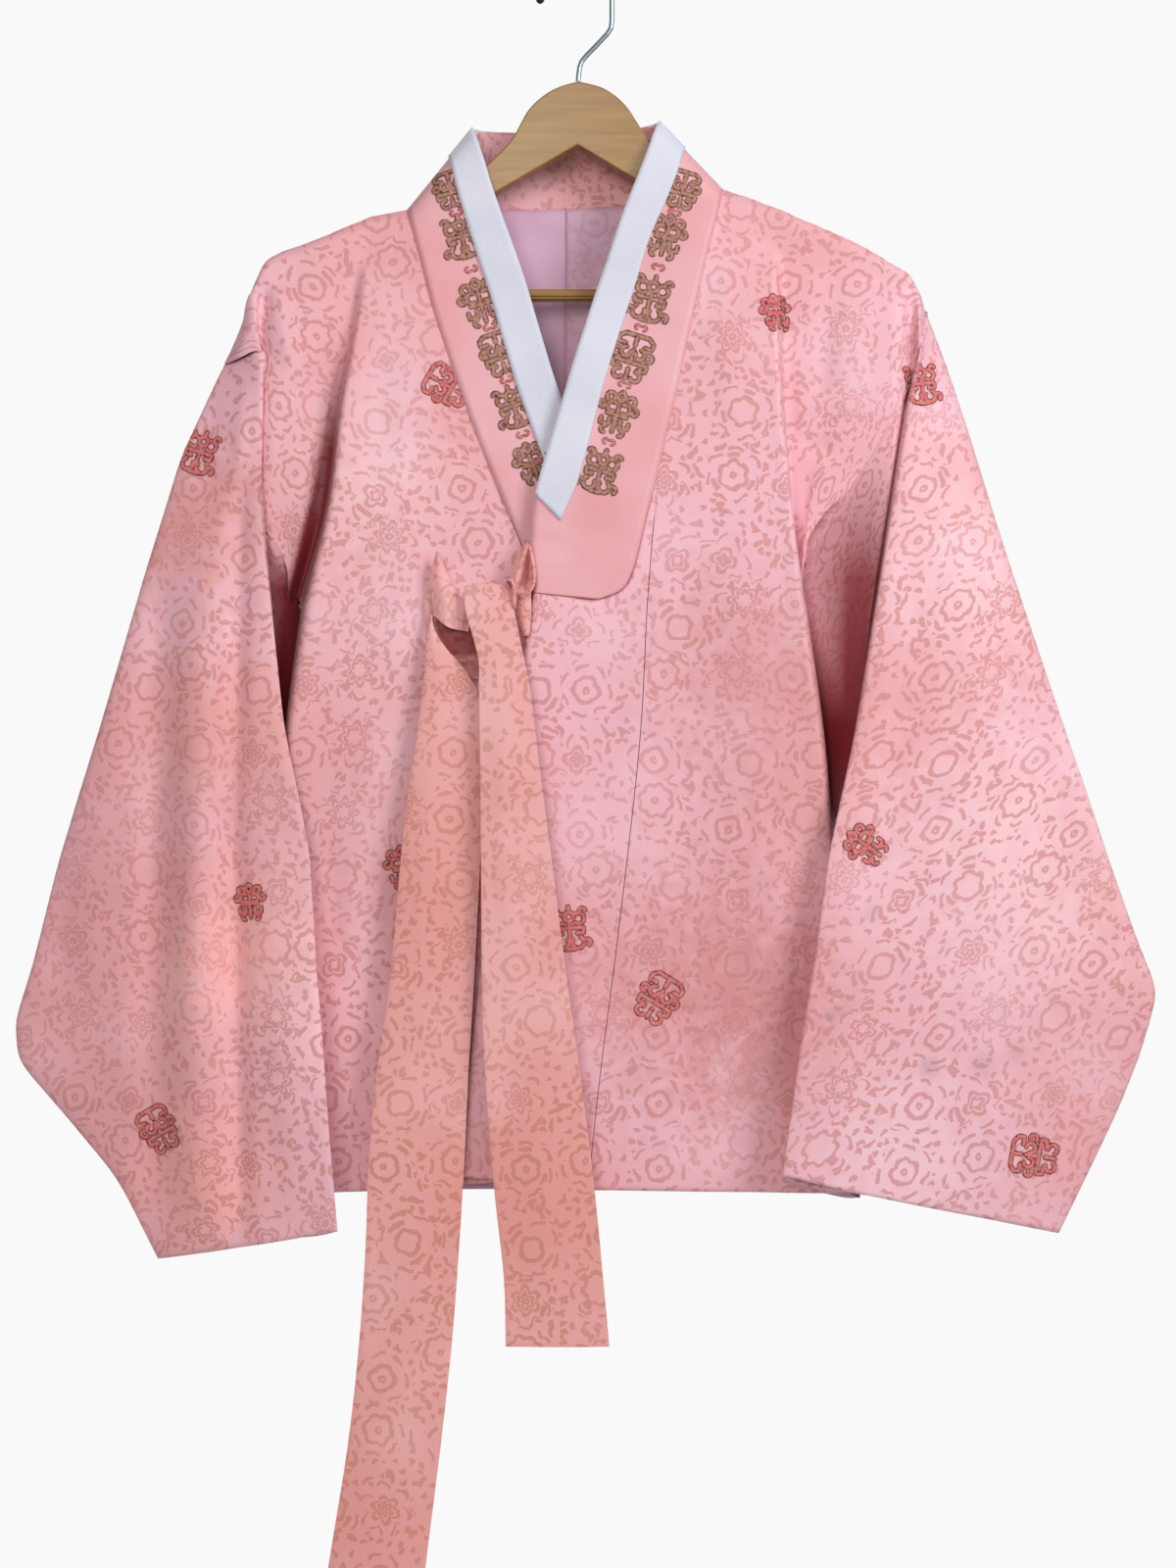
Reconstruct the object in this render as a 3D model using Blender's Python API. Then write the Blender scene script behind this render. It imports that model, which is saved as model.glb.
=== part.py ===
"""A Korean jacket (jeogori) of figured silk on a wooden hanger with a trouser bar.

Metres, +Z up. The wearer's front faces -Y, so the wearer's right is at -X. The origin is the inside
top of the hook, where a rail would carry it. Tables are in millimetres, and depth is the distance
behind the hanger's middle plane, so a piece in front of the hanger has a negative depth.
"""

import math

import bmesh
import bpy
import numpy as np
from mathutils import Vector

MM = 0.001

# Cloth walls and gaps, in millimetres.
CLOTH = 1.5
COLLAR = 2.4
WHITE_BAND = 1.2
LINING = 1.0
RIBBON = 2.0
SEAM_GAP = 0.6
RIDGE_GAP = 0.8
ARM_RADIUS = 8.0

# Hanger, in millimetres.
HOOK_RADIUS = 22.4
WIRE_RADIUS = 1.65
BALL_RADIUS = 2.7
WOOD_HALF_DEPTH = 5.5
BAR_RADIUS = 4.0
BAR_Z = -206.5
BAR_ENDS = (-174.0, 184.0)

# How far down each panel its rows of points lie: 0 is the shoulder, 1 the armpit and 2 the hem.
UPPER_ROWS = (0.0, 0.008, 0.03, 0.08, 0.18, 0.32, 0.46, 0.6, 0.74, 0.87, 1.0)
LOWER_ROWS = (1.14, 1.28, 1.42, 1.57, 1.72, 1.86, 2.0)

# The wooden hanger: x, top, height of the section.
HANGER_SECTIONS = (
    (-189.0, -193.0, 20.0),
    (-186.0, -188.5, 28.0),
    (-175.0, -183.5, 33.0),
    (-174.6, -183.4, 18.0),
    (-134.0, -165.5, 20.0),
    (-106.0, -159.5, 20.0),
    (-82.0, -140.0, 24.0),
    (-58.0, -124.5, 20.5),
    (-46.0, -108.0, 30.0),
    (-35.0, -93.5, 38.5),
    (-21.0, -80.0, 45.5),
    (-10.0, -74.2, 44.3),
    (1.0, -72.6, 39.0),
    (12.0, -74.4, 43.8),
    (23.0, -80.5, 43.5),
    (38.0, -94.0, 37.5),
    (47.0, -108.0, 28.5),
    (58.0, -121.0, 23.0),
    (92.0, -146.0, 21.0),
    (119.0, -155.5, 21.0),
    (151.0, -166.5, 20.0),
    (184.6, -183.0, 18.0),
    (185.0, -183.2, 33.0),
    (194.0, -190.0, 27.0),
    (197.0, -195.0, 18.0),
)

# The collar's bands: outer x, depth, z (the seam to the panel), then inner x, depth, z (the neck edge).
COLLAR_RIGHT = (
    (-106.0, -1.2, -153.0, -65.0, 0.5, -102.0),
    (-104.5, -7.4, -158.5, -62.0, -6.5, -111.0),
    (-102.0, -10.5, -167.0, -57.0, -10.5, -127.0),
    (-97.0, -12.5, -186.0, -51.0, -12.0, -147.0),
    (-88.0, -15.0, -220.0, -34.0, -13.0, -195.0),
    (-78.5, -18.0, -250.0, -24.0, -15.5, -229.0),
    (-68.0, -20.0, -279.0, -14.0, -17.0, -262.0),
    (-55.0, -20.5, -313.0, -3.0, -17.5, -292.0),
    (-43.0, -20.0, -342.0, 8.0, -18.0, -320.0),
    (-31.0, -18.5, -371.0, 19.0, -18.0, -350.0),
)
COLLAR_LEFT = (
    (92.0, -1.2, -140.0, 52.0, 0.5, -98.0),
    (90.5, -7.4, -146.0, 49.0, -6.5, -106.0),
    (88.5, -10.5, -155.0, 45.5, -10.5, -117.0),
    (84.0, -12.5, -173.0, 39.5, -12.0, -133.0),
    (76.0, -16.0, -206.0, 30.0, -13.5, -157.0),
    (69.0, -18.0, -236.0, 19.0, -16.0, -190.0),
    (62.0, -20.5, -270.0, 8.0, -19.5, -223.0),
    (55.0, -22.5, -300.0, -2.0, -23.0, -255.0),
    (49.0, -24.0, -326.0, -12.0, -25.5, -290.0),
    (44.0, -25.0, -345.0, -21.0, -26.5, -320.0),
    (41.0, -25.5, -358.0, -27.0, -27.0, -345.0),
    (35.0, -26.0, -381.0, -28.5, -27.5, -372.0),
    (28.0, -26.5, -393.0, -26.5, -27.5, -389.0),
    (14.0, -27.0, -399.0, -26.0, -27.5, -395.0),
)
COLLAR_BACK = (
    (-106.0, 2.6, -153.4, -65.0, 8.5, -101.8),
    (-91.0, 12.0, -150.5, -60.0, 17.5, -99.0),
    (-47.0, 20.0, -150.0, -43.0, 25.0, -98.0),
    (-7.0, 22.0, -149.0, -7.0, 29.0, -98.0),
    (32.0, 20.0, -147.0, 32.0, 25.0, -96.0),
    (78.0, 12.0, -140.5, 47.0, 17.5, -95.5),
    (92.0, 2.6, -140.4, 52.0, 8.5, -97.5),
)

# Fold lines that run down a panel. Each: (top z, end z), x at five even drops, depth at the same five.
FRONT_RIGHT_UPPER = {
    "fold": ((-157, -399), (-128, -133, -143, -150, -163), (0, -16, -22, -26, -28)),
    "valley": ((-160, -397), (-135, -140, -151, -159, -176), (0, -10, -6, 0, 2)),
    "side": ((-163, -397), (-143, -147, -156, -163, -179), (0, -11, -8, -4, 4)),
    "lobe": ((-167, -380), (-152, -157, -165, -168, -181), (0, -12, -12, -12, -7)),
    "arm": ((-175, -351), (-172, -176, -180, -185, -196), (0, -13, -15, -15, -12)),
    "edge": ((-180, -318), (-186, -188, -191, -195, -198), (0, -12, -13, -13, -11)),
    "slit": ((-185, -293), (-194, -195, -196, -197, -198), (0, -8, -9, -9, -9)),
    "crease": ((-196, -244), (-200, -200, -200, -200, -200), (0, -10, -13, -14, -15)),
    "cap": ((-226, -248), (-210, -210, -210, -210, -210), (0, -6, -9, -11, -12)),
    "tip": ((-245, -250), (-218, -219, -219.5, -220, -220.5), (0, -1.2, -1.8, -2.2, -2.5)),
}
FRONT_RIGHT_LOWER = {
    "neck": ((-399, -758), (-19, -16, -14, -13, -14), (-18, -19, -19, -18, -18)),
    "fold": ((-399, -770), (-163, -178, -188, -192, -195), (-28, -24, -18, -13, -11)),
    "valley": ((-397, -772), (-176, -185, -193, -197, -200), (2, -5, -6, -4, -3)),
    "side": ((-397, -775), (-179, -187, -196, -201, -205), (4, 3, 2, 2, 2)),
}
FRONT_LEFT_UPPER = {
    "fold": ((-151, -400), (123, 123, 125, 131, 138), (0, -18, -25, -28, -29)),
    "valley": ((-153, -397), (129, 130, 132, 136, 139), (0, -9, -8, -5, -2)),
    "side": ((-156, -397), (135, 137, 139, 140, 139), (0, -10, -10, -8, 4)),
    "lobe": ((-162, -374), (149, 151, 152, 149, 143), (0, -12, -13, -12, -9)),
    "arm": ((-176, -325), (180, 180, 182, 179, 173), (0, -13, -15, -15, -13)),
    "edge": ((-188, -278), (200, 202, 202, 202, 203), (0, -12, -14, -14, -12)),
    "slit": ((-192, -255), (207, 209, 210, 210, 210), (0, -4, -3, -3, -3)),
    "crease": ((-201, -236), (213, 214, 214, 214, 214), (0, -8, -11, -13, -14)),
    "cap": ((-207, -229), (216, 216, 217, 217, 217), (0, -5, -7, -8, -9)),
    "tip": ((-213, -219), (218, 218, 219, 219, 219), (0, -1.2, -1.8, -2.2, -2.5)),
}
FRONT_LEFT_LOWER = {
    "fold": ((-400, -768), (138, 151, 159, 164, 168), (-29, -25, -19, -14, -11)),
    "valley": ((-397, -771), (139, 157, 165, 169, 173), (-2, -5, -6, -4, -3)),
    "side": ((-397, -773), (139, 159, 168, 173, 178), (4, 3, 2, 2, 2)),
}
BACK_RIGHT_UPPER = {
    "centre": ((-151, -399), (-7.5, -7.5, -7.5, -7.5, -7.5), (23, 20, 18, 17, 17)),
    "nape": ((-152, -399), (-48, -49, -51, -53, -55), (21, 19, 18, 17, 17)),
    "blade": ((-153, -399), (-91, -94, -98, -103, -108), (13, 16, 17, 17, 17)),
    "shoulder": ((-155, -398), (-107, -112, -122, -134, -148), (0, 13, 16, 17, 16)),
    "side": ((-163, -397), (-143, -149, -157, -166, -180), (0, 9, 13, 14, 5)),
    "arm": ((-175, -364), (-172, -178, -184, -189, -194), (0, 9, 12, 13, 11)),
    "edge": ((-181, -340), (-187, -190, -194, -199, -205), (0, 9, 12, 12, 11)),
    "crease": ((-196, -309), (-200, -201, -204, -209, -216), (0, 7, 9, 10, 10)),
    "cap": ((-226, -272), (-210, -213, -215, -218, -221), (0, 4, 6, 7, 7)),
    "tip": ((-245, -251), (-218, -219, -220, -221, -222), (0, 1.2, 1.8, 2.2, 2.5)),
}
BACK_RIGHT_LOWER = {
    "centre": ((-399, -770), (-7.5, -7.5, -7.5, -7.5, -7.5), (17, 17, 18, 18, 18)),
    "nape": ((-399, -770), (-55, -58, -61, -63, -64), (17, 17, 17, 18, 18)),
    "blade": ((-399, -771), (-108, -112, -117, -121, -124), (17, 17, 17, 17, 17)),
    "shoulder": ((-398, -773), (-148, -155, -164, -172, -178), (16, 16, 15, 14, 14)),
    "side": ((-397, -775), (-180, -187, -196, -201, -205), (5, 5.6, 5.2, 5.2, 5.2)),
}
BACK_LEFT_UPPER = {
    "centre": ((-151, -399), (-6.5, -6.5, -6.5, -6.5, -6.5), (23, 20, 18, 17, 17)),
    "nape": ((-149, -399), (33, 34, 35, 36, 37), (21, 19, 18, 17, 17)),
    "blade": ((-143, -399), (78, 79, 80, 81, 82), (13, 16, 17, 17, 17)),
    "shoulder": ((-142, -398), (93, 97, 102, 107, 112), (0, 13, 16, 17, 16)),
    "side": ((-156, -397), (135, 139, 141, 142, 139), (0, 9, 13, 14, 5)),
    "arm": ((-176, -352), (180, 183, 184, 179, 168), (0, 9, 12, 13, 11)),
    "edge": ((-187, -322), (199, 202, 202, 197, 188), (0, 9, 12, 13, 11)),
    "crease": ((-201, -290), (213, 215, 215, 213, 209), (0, 7, 9, 10, 10)),
    "cap": ((-207, -247), (216, 219, 221, 222, 224), (0, 4, 6, 7, 7)),
    "tip": ((-213, -219), (218, 219, 220, 220, 221), (0, 1.2, 1.8, 2.2, 2.5)),
}
BACK_LEFT_LOWER = {
    "centre": ((-399, -770), (-6.5, -6.5, -6.5, -6.5, -6.5), (17, 17, 18, 18, 18)),
    "nape": ((-399, -770), (37, 40, 43, 45, 46), (17, 17, 17, 18, 18)),
    "blade": ((-399, -770), (82, 86, 92, 96, 99), (17, 17, 17, 17, 17)),
    "shoulder": ((-398, -771), (112, 125, 136, 144, 151), (16, 16, 15, 14, 14)),
    "side": ((-397, -773), (139, 159, 168, 173, 178), (5, 5.6, 5.2, 5.2, 5.2)),
}

# Sleeve sections: how far down, then x, depth, z of the outer edge, the inner crease and the armpit side.
SLEEVE_RIGHT = (
    (0.00, -221, -2, -252, -200, -15, -246, -181, 4, -399),
    (0.12, -247, -4, -308, -200, -18, -313, -184, 2, -421),
    (0.25, -270, -5, -382, -190, -24, -392, -187.5, 0, -454),
    (0.40, -297, -6, -476, -180, -29, -474, -193, -6, -507),
    (0.48, -311, -6, -522, -172, -33, -516, -194.5, -18, -536),
    (0.55, -323, -6, -562, -165, -36, -555, -187, -28, -561),
    (0.67, -339, -6, -626, -160, -39, -624, -170, -30, -624),
    (0.74, -350, -6, -661, -157, -40, -657, -167, -31, -657),
    (0.80, -348, -6, -686, -155, -41, -680, -164, -32, -681),
    (0.87, -317, -8, -721, -152, -42, -719, -160, -33, -720),
    (0.94, -285, -10, -759, -149, -42, -752, -156, -34, -753),
    (1.00, -260, -12, -808, -146, -42, -786, -153, -34, -789),
)
SLEEVE_LEFT = (
    (0.00, 220, -2, -221, 215, -14, -239, 141, 4, -399),
    (0.12, 244, -4, -290, 204, -18, -297, 148, 2, -421),
    (0.25, 272, -5, -378, 191, -23, -371, 155, 0, -454),
    (0.40, 304, -6, -475, 173, -29, -474, 166, -6, -507),
    (0.48, 319, -6, -519, 164, -33, -516, 169, -18, -536),
    (0.55, 331, -6, -556, 156, -36, -555, 164, -28, -567),
    (0.67, 349, -6, -608, 148, -39, -612, 158, -30, -624),
    (0.74, 363, -6, -643, 143, -40, -645, 153, -31, -657),
    (0.80, 352, -6, -681, 138, -41, -677, 148, -32, -681),
    (0.87, 338, -8, -715, 134, -42, -704, 143, -33, -711),
    (0.94, 320, -10, -752, 130, -42, -731, 139, -34, -738),
    (1.00, 300, -12, -792, 127, -43, -753, 135, -34, -758),
)
# Where each seam line of a panel meets the sleeve's ring: along crease-to-armpit or armpit-to-outer edge.
FRONT_SEAM_LINES = (("slit", 0.08), ("edge", 0.2), ("arm", 0.42), ("lobe", 0.72))
BACK_SEAM_LINES = (("arm", 0.28), ("edge", 0.46), ("crease", 0.66), ("cap", 0.88))
SLEEVE_FULLNESS = 19.0
SLEEVE_FRONT_BULGE = 5.0

# The outer overlap's free edge and its seam to the left front: x, depth, z.
OVERLAP_EDGE = ((-26, -27.5, -396.5), (-41, -28, -489), (-56, -26.5, -604), (-66, -25.5, -694),
                (-72.5, -25, -755))
OVERLAP_TOP = ((-26, -27.5, -396.5), (-6, -27.3, -398.8), (14, -27, -400.3), (29.5, -26.5, -394.5),
               (36.5, -26, -381.5), (42.3, -25.5, -358.5), (49.8, -24, -328))
OVERLAP_TOP_SHARES = (0.0, 0.27, 0.53, 0.74, 0.84, 0.92, 1.0)
OVERLAP_SEAM = ((49.8, -24, -328), (44, -25.5, -399), (39, -26, -488), (26, -25.5, -604), (15, -25, -690),
                (7, -25, -763.5))
# The inner overlap under it, from the right front's edge.
INNER_OVERLAP = {
    "seam": ((-399, -758), (-19, -16, -14, -13, -14), (-18, -19, -19, -18, -18)),
    "edge": ((-405, -756), (36, 31, 20, 10, 2), (-17, -18, -18, -17, -17)),
}

# Ribbon tails: left x, right x, depth, z.
RIGHT_TAIL = (
    (-91.0, -72.0, -31.0, -412.0),
    (-93.0, -63.0, -32.5, -430.0),
    (-94.5, -59.0, -33.5, -455.0),
    (-106.0, -58.0, -34.0, -543.0),
    (-114.0, -62.5, -34.0, -633.0),
    (-122.4, -66.0, -34.0, -692.0),
    (-127.2, -68.5, -34.0, -745.0),
    (-129.0, -71.5, -34.0, -795.0),
    (-133.0, -76.0, -34.0, -855.0),
    (-139.5, -82.5, -34.0, -915.0),
    (-149.0, -90.0, -34.0, -975.0),
    (-156.5, -95.5, -34.0, -1020.0),
)
LEFT_TAIL = (
    (-67.0, -41.0, -33.0, -392.5),
    (-68.0, -40.0, -36.5, -390.8),
    (-69.5, -39.5, -39.0, -393.5),
    (-67.5, -36.5, -41.5, -412.0),
    (-59.5, -30.0, -42.5, -446.0),
    (-58.4, -22.0, -43.0, -503.0),
    (-57.8, -13.0, -43.0, -573.0),
    (-57.2, -5.2, -43.0, -634.0),
    (-55.4, 2.6, -43.0, -689.0),
    (-49.8, 11.4, -43.0, -760.0),
    (-44.0, 16.6, -43.0, -814.0),
    (-42.8, 20.5, -43.0, -856.0),
)
RIGHT_ROOT = (
    (-87.3, -85.8, -26.5, -369.5),
    (-88.6, -82.5, -28.5, -380.0),
    (-88.8, -78.0, -29.5, -391.0),
    (-88.3, -72.0, -29.5, -400.0),
    (-85.0, -72.0, -28.0, -407.0),
)
LEFT_ROOT = (
    (-29.8, -28.0, -31.0, -363.8),
    (-34.0, -26.4, -32.5, -374.0),
    (-38.5, -26.0, -33.5, -384.0),
    (-37.5, -27.5, -33.5, -390.0),
    (-34.5, -29.0, -32.5, -394.0),
)
RIGHT_LOOP = ((-94.5, -89.8, -26.0, -392.0), (-95.5, -90.5, -26.5, -402.0), (-94.5, -91.5, -26.0, -414.0))
LEFT_LOOP = ((-36.0, -28.0, -30.5, -397.0), (-35.0, -27.5, -31.0, -410.0), (-31.0, -28.0, -31.0, -424.0))
ROLL_PATH = ((-36.5, -40.5, -388.5), (-35.8, -42.0, -392.5), (-35.2, -41.0, -397.0))
ROLL_RADIUS = 2.2

# Colours (linear), roughness and metallic of each sub-part's material.
FINISHES = {
    "damask": ((0.80, 0.42, 0.45, 1), 0.42, 0.0),
    "satin": ((0.82, 0.42, 0.43, 1), 0.35, 0.0),
    "white_band": ((0.72, 0.74, 0.82, 1), 0.6, 0.0),
    "lining": ((0.70, 0.52, 0.62, 1), 0.5, 0.0),
    "wood": ((0.52, 0.32, 0.14, 1), 0.4, 0.0),
    "steel": ((0.6, 0.62, 0.64, 1), 0.25, 1.0),
    "black_ball": ((0.02, 0.02, 0.02, 1), 0.4, 0.0),
}


def clear_scene():
    for obj in list(bpy.data.objects):
        bpy.data.objects.remove(obj, do_unlink=True)


def finish(name):
    """The named Principled material, made once."""
    material = bpy.data.materials.get(name) or bpy.data.materials.new(name)
    colour, roughness, metallic = FINISHES[name]
    material.use_nodes = True
    shader = material.node_tree.nodes["Principled BSDF"]
    shader.inputs["Base Color"].default_value = colour
    shader.inputs["Roughness"].default_value = roughness
    shader.inputs["Metallic"].default_value = metallic
    return material


def add_object(name, bm, material):
    mesh = bpy.data.meshes.new(name)
    bm.to_mesh(mesh)
    bm.free()
    mesh.shade_smooth()
    mesh.materials.append(finish(material))
    obj = bpy.data.objects.new(name, mesh)
    bpy.context.scene.collection.objects.link(obj)
    return obj


def smooth_at(values, share):
    """The value at share (0 to 1) of a smooth curve through evenly spaced values or points."""
    points = np.asarray(values, float)
    position = min(max(share, 0.0), 1.0) * (len(points) - 1)
    i = min(int(position), len(points) - 2)
    t = position - i
    before = points[i - 1] if i > 0 else 2 * points[0] - points[1]
    after = points[i + 2] if i + 2 < len(points) else 2 * points[-1] - points[-2]
    a, b = points[i], points[i + 1]
    slope_a, slope_b = (b - before) / 2, (after - a) / 2
    t2, t3 = t * t, t * t * t
    ends = (2 * t3 - 3 * t2 + 1) * a + (3 * t2 - 2 * t3) * b
    return ends + (t3 - 2 * t2 + t) * slope_a + (t3 - t2) * slope_b


def smooth_step(share):
    share = min(max(share, 0.0), 1.0)
    return share * share * (3 - 2 * share)


def line_point(line, share):
    """The point at share of the way down a fold line."""
    (top, end), xs, depths = line
    return np.array([smooth_at(xs, share), smooth_at(depths, share), top + (end - top) * share])


def over_arm(line, share, side):
    """As line_point, but rounding over the hanger's arm near the shoulder. Side is -1 in front, 1 behind."""
    point = line_point(line, share)
    length = line[0][0] - line[0][1]
    radius = min(ARM_RADIUS, 0.3 * length)
    drop = min(share * length / radius, 1.0)
    least = RIDGE_GAP + (radius - RIDGE_GAP) * math.sqrt(1 - (1 - drop) ** 2)
    point[1] = side * max(side * point[1], least)
    return point


def collar_edge(rows, z, gap):
    """The point at height z on the collar's seam, moved sideways by gap towards the panel."""
    heights = [row[2] for row in rows][::-1]
    x = np.interp(z, heights, [row[0] for row in rows][::-1])
    depth = np.interp(z, heights, [row[1] for row in rows][::-1])
    return np.array([x + gap, depth, z])


def sheet(name, grid, wall, material, towards=None, centre=None, closed=False):
    """A cloth wall on a grid of points, None where the panel ends. It thickens away from its outer side."""
    bm = bmesh.new()
    verts = [[None if p is None else bm.verts.new(Vector(p) * MM) for p in row] for row in grid]
    for upper, lower in zip(verts, verts[1:]):
        count = len(upper)
        for j in range(count if closed else count - 1):
            corners = (upper[j], lower[j], lower[(j + 1) % count], upper[(j + 1) % count])
            if None not in corners:
                bm.faces.new(corners)
    bm.normal_update()
    facing = 0.0
    for face in bm.faces:
        middle = face.calc_center_median()
        if towards is not None:
            direction = Vector(towards)
        else:
            direction = middle - Vector(centre(middle.z / MM)) * MM
        facing += face.normal.dot(direction) * face.calc_area()
    if facing < 0:
        bmesh.ops.reverse_faces(bm, faces=bm.faces[:])
    obj = add_object(name, bm, material)
    solid = obj.modifiers.new("wall", "SOLIDIFY")
    solid.thickness = wall * MM
    solid.offset = -1.0
    solid.use_quality_normals = True
    return obj


def front_grid(upper, lower, neck):
    """Rows of points of a front: neck edge to side seam all the way down, and on to the arm above it."""
    inner_shares = (0.0, 0.33, 0.66, 0.9)
    outer_names = [name for name in upper if name not in ("fold", "valley", "side")]
    grid = []
    for row in UPPER_ROWS + LOWER_ROWS:
        above = row <= 1.0
        share = row if above else row - 1.0
        lines = upper if above else lower
        place = over_arm if above else (lambda line, at, side: line_point(line, at))
        start = neck(row)
        fold = place(lines["fold"], share, -1)
        points = [start + (fold - start) * at for at in inner_shares]
        points += [fold] + [place(lines[name], share, -1) for name in ("valley", "side")]
        points += [place(upper[name], share, -1) if above else None for name in outer_names]
        grid.append(points)
    return grid


def overlap_seam_at(z):
    """The point at height z on the outer overlap's seam."""
    curve = np.array([smooth_at(OVERLAP_SEAM, share) for share in np.linspace(0, 1, 41)])[::-1]
    return np.array([np.interp(z, curve[:, 2], curve[:, 0]), np.interp(z, curve[:, 2], curve[:, 1]), z])


def make_fronts():
    right_lower_neck = FRONT_RIGHT_LOWER["neck"]

    def right_neck(row):
        if row > 1.0:
            return line_point(right_lower_neck, row - 1.0)
        z = -153.0 + (-399.0 + 153.0) * row
        if z < COLLAR_RIGHT[-1][2]:
            last = COLLAR_RIGHT[-1]
            start = np.array([last[0] - SEAM_GAP, last[1], last[2]])
            end = line_point(right_lower_neck, 0.0)
            return start + (end - start) * (z - last[2]) / (-399.0 - last[2])
        return collar_edge(COLLAR_RIGHT, z, -SEAM_GAP)

    def left_neck(row):
        beyond = np.array([SEAM_GAP, 0, 0])
        if row > 1.0:
            return overlap_seam_at(-399.0 + (-763.5 + 399.0) * (row - 1.0)) + beyond
        z = -140.0 + (-399.0 + 140.0) * row
        if z < OVERLAP_SEAM[0][2]:
            return overlap_seam_at(z) + beyond
        return collar_edge(COLLAR_LEFT, z, SEAM_GAP)

    right = front_grid(FRONT_RIGHT_UPPER, FRONT_RIGHT_LOWER, right_neck)
    left = front_grid(FRONT_LEFT_UPPER, FRONT_LEFT_LOWER, left_neck)
    sheet("front_right", right, CLOTH, "damask", towards=(0, -1, 0))
    sheet("front_left", left, CLOTH, "damask", towards=(0, -1, 0))


def make_back(name, upper, lower):
    names = list(upper)
    grid = []
    for row in UPPER_ROWS + LOWER_ROWS:
        points = []
        for line_name in names:
            neck_line = line_name in ("centre", "nape", "blade")
            if row > 1.0:
                points.append(line_point(lower[line_name], row - 1.0) if line_name in lower else None)
            elif neck_line:
                points.append(line_point(upper[line_name], row))
            else:
                points.append(over_arm(upper[line_name], row, 1))
        grid.append(points)
    sheet(name, grid, CLOTH, "damask", towards=(0, 1, 0))


def sleeve_ring(sections, front_seam, back_seam, at):
    """One closed ring of a sleeve: outer edge, crease, armpit side and round behind."""
    downs = [row[0] for row in sections]
    here = np.array([np.interp(at, downs, [row[i] for row in sections]) for i in range(1, 10)])
    outer, crease, armpit = here.reshape(3, 3)
    first = np.array(sections[0][1:], float).reshape(3, 3)
    held = 1 - smooth_step(at / 0.5)
    full = SLEEVE_FULLNESS * smooth_step(at / 0.3)
    bulge = SLEEVE_FRONT_BULGE * smooth_step(at / 0.3)
    ring = [outer]
    for share in (0.25, 0.5, 0.75):
        point = outer + (crease - outer) * share
        point[1] -= bulge * math.sin(math.pi * share)
        ring.append(point)
    ring.append(crease)
    for line, share in front_seam:
        free = crease + (armpit - crease) * share
        at_seam = line - (first[1] + (first[2] - first[1]) * share)
        ring.append(free + held * at_seam)
    ring.append(armpit)
    for line, share in back_seam:
        free = armpit + (outer - armpit) * share
        at_seam = line - (first[2] + (first[0] - first[2]) * share)
        point = free + held * at_seam
        point[1] += full * math.sin(math.pi * share ** 1.6)
        ring.append(point)
    return ring


def make_sleeve(name, sections, front, back):
    outwards = math.copysign(1.0, sections[0][1])
    drop = np.array([outwards, 0.0, -1.6])
    front_seam = [(line_point(front[n], 1.0) + drop, share) for n, share in FRONT_SEAM_LINES]
    back_seam = [(line_point(back[n], 1.0) + drop, share) for n, share in BACK_SEAM_LINES]
    downs = (0.0, 0.05, 0.12, 0.19, 0.27, 0.34, 0.42, 0.5, 0.56, 0.62, 0.68, 0.74, 0.80, 0.87, 0.94, 1.0)
    grid = [sleeve_ring(sections, front_seam, back_seam, at) for at in downs]

    def middle(z):
        nearest = min(grid, key=lambda ring: abs(np.mean(ring, axis=0)[2] - z))
        return np.mean(nearest, axis=0)

    sheet(name, grid, CLOTH, "damask", centre=middle, closed=True)


def band_grid(rows, shares):
    """Rows across a collar band: share 0 is its seam and 1 is its neck edge."""
    grid = []
    for row in rows:
        seam, edge = np.array(row[:3]), np.array(row[3:])
        grid.append([seam + (edge - seam) * share for share in shares])
    return grid


def back_collar_rows():
    """The back collar's sections, close enough together to go smoothly round the neck."""
    return [smooth_at(COLLAR_BACK, share) for share in np.linspace(0, 1, 13)]


def make_collar():
    shares = (0.0, 0.33, 0.66, 1.0)
    sheet("collar_right", band_grid(COLLAR_RIGHT, shares), COLLAR, "satin", towards=(0, -1, 0.2))
    sheet("collar_left", band_grid(COLLAR_LEFT, shares), COLLAR, "satin", towards=(0, -1, 0.2))
    sheet("collar_back", band_grid(back_collar_rows(), shares), COLLAR, "satin", towards=(0, 1, 0.3))


def moved_out(grid, towards, distance):
    """The grid's points moved by distance along the surface's own normals, on the side of towards."""
    points = np.array(grid)
    down = np.gradient(points, axis=0)
    across = np.gradient(points, axis=1)
    normal = np.cross(down, across)
    normal /= np.linalg.norm(normal, axis=2, keepdims=True)
    normal *= np.sign(normal @ np.array(towards, float))[..., None]
    return points + normal * distance


def make_white_band(name, rows, towards, clear=0.4, tip=None):
    """The white band lies on the collar's neck edge, clear of it by so many millimetres."""
    grid = []
    for row in rows:
        seam, edge = np.array(row[:3]), np.array(row[3:])
        across = (seam - edge) / np.linalg.norm(seam - edge)
        grid.append([edge + across * reach for reach in (-0.8, 7.0, 15.0, 23.0)])
    if tip is not None:
        start, end = np.array(tip)
        grid.append([start + (end - start) * share for share in (0.0, 0.35, 0.68, 1.0)])
    sheet(name, moved_out(grid, towards, WHITE_BAND + clear), WHITE_BAND, "white_band", towards=towards)


def make_white_bands():
    make_white_band("white_band_right", COLLAR_RIGHT[:9], (0, -1, 0.1))
    left_tip = ((-25.5, -26.8, -334.0), (-9.5, -26.4, -350.5))
    make_white_band("white_band_left", COLLAR_LEFT[:10], (0, -1, 0.1), tip=left_tip)
    make_white_band("white_band_back", back_collar_rows(), (0, 1, 0.1), clear=1.0)


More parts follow.
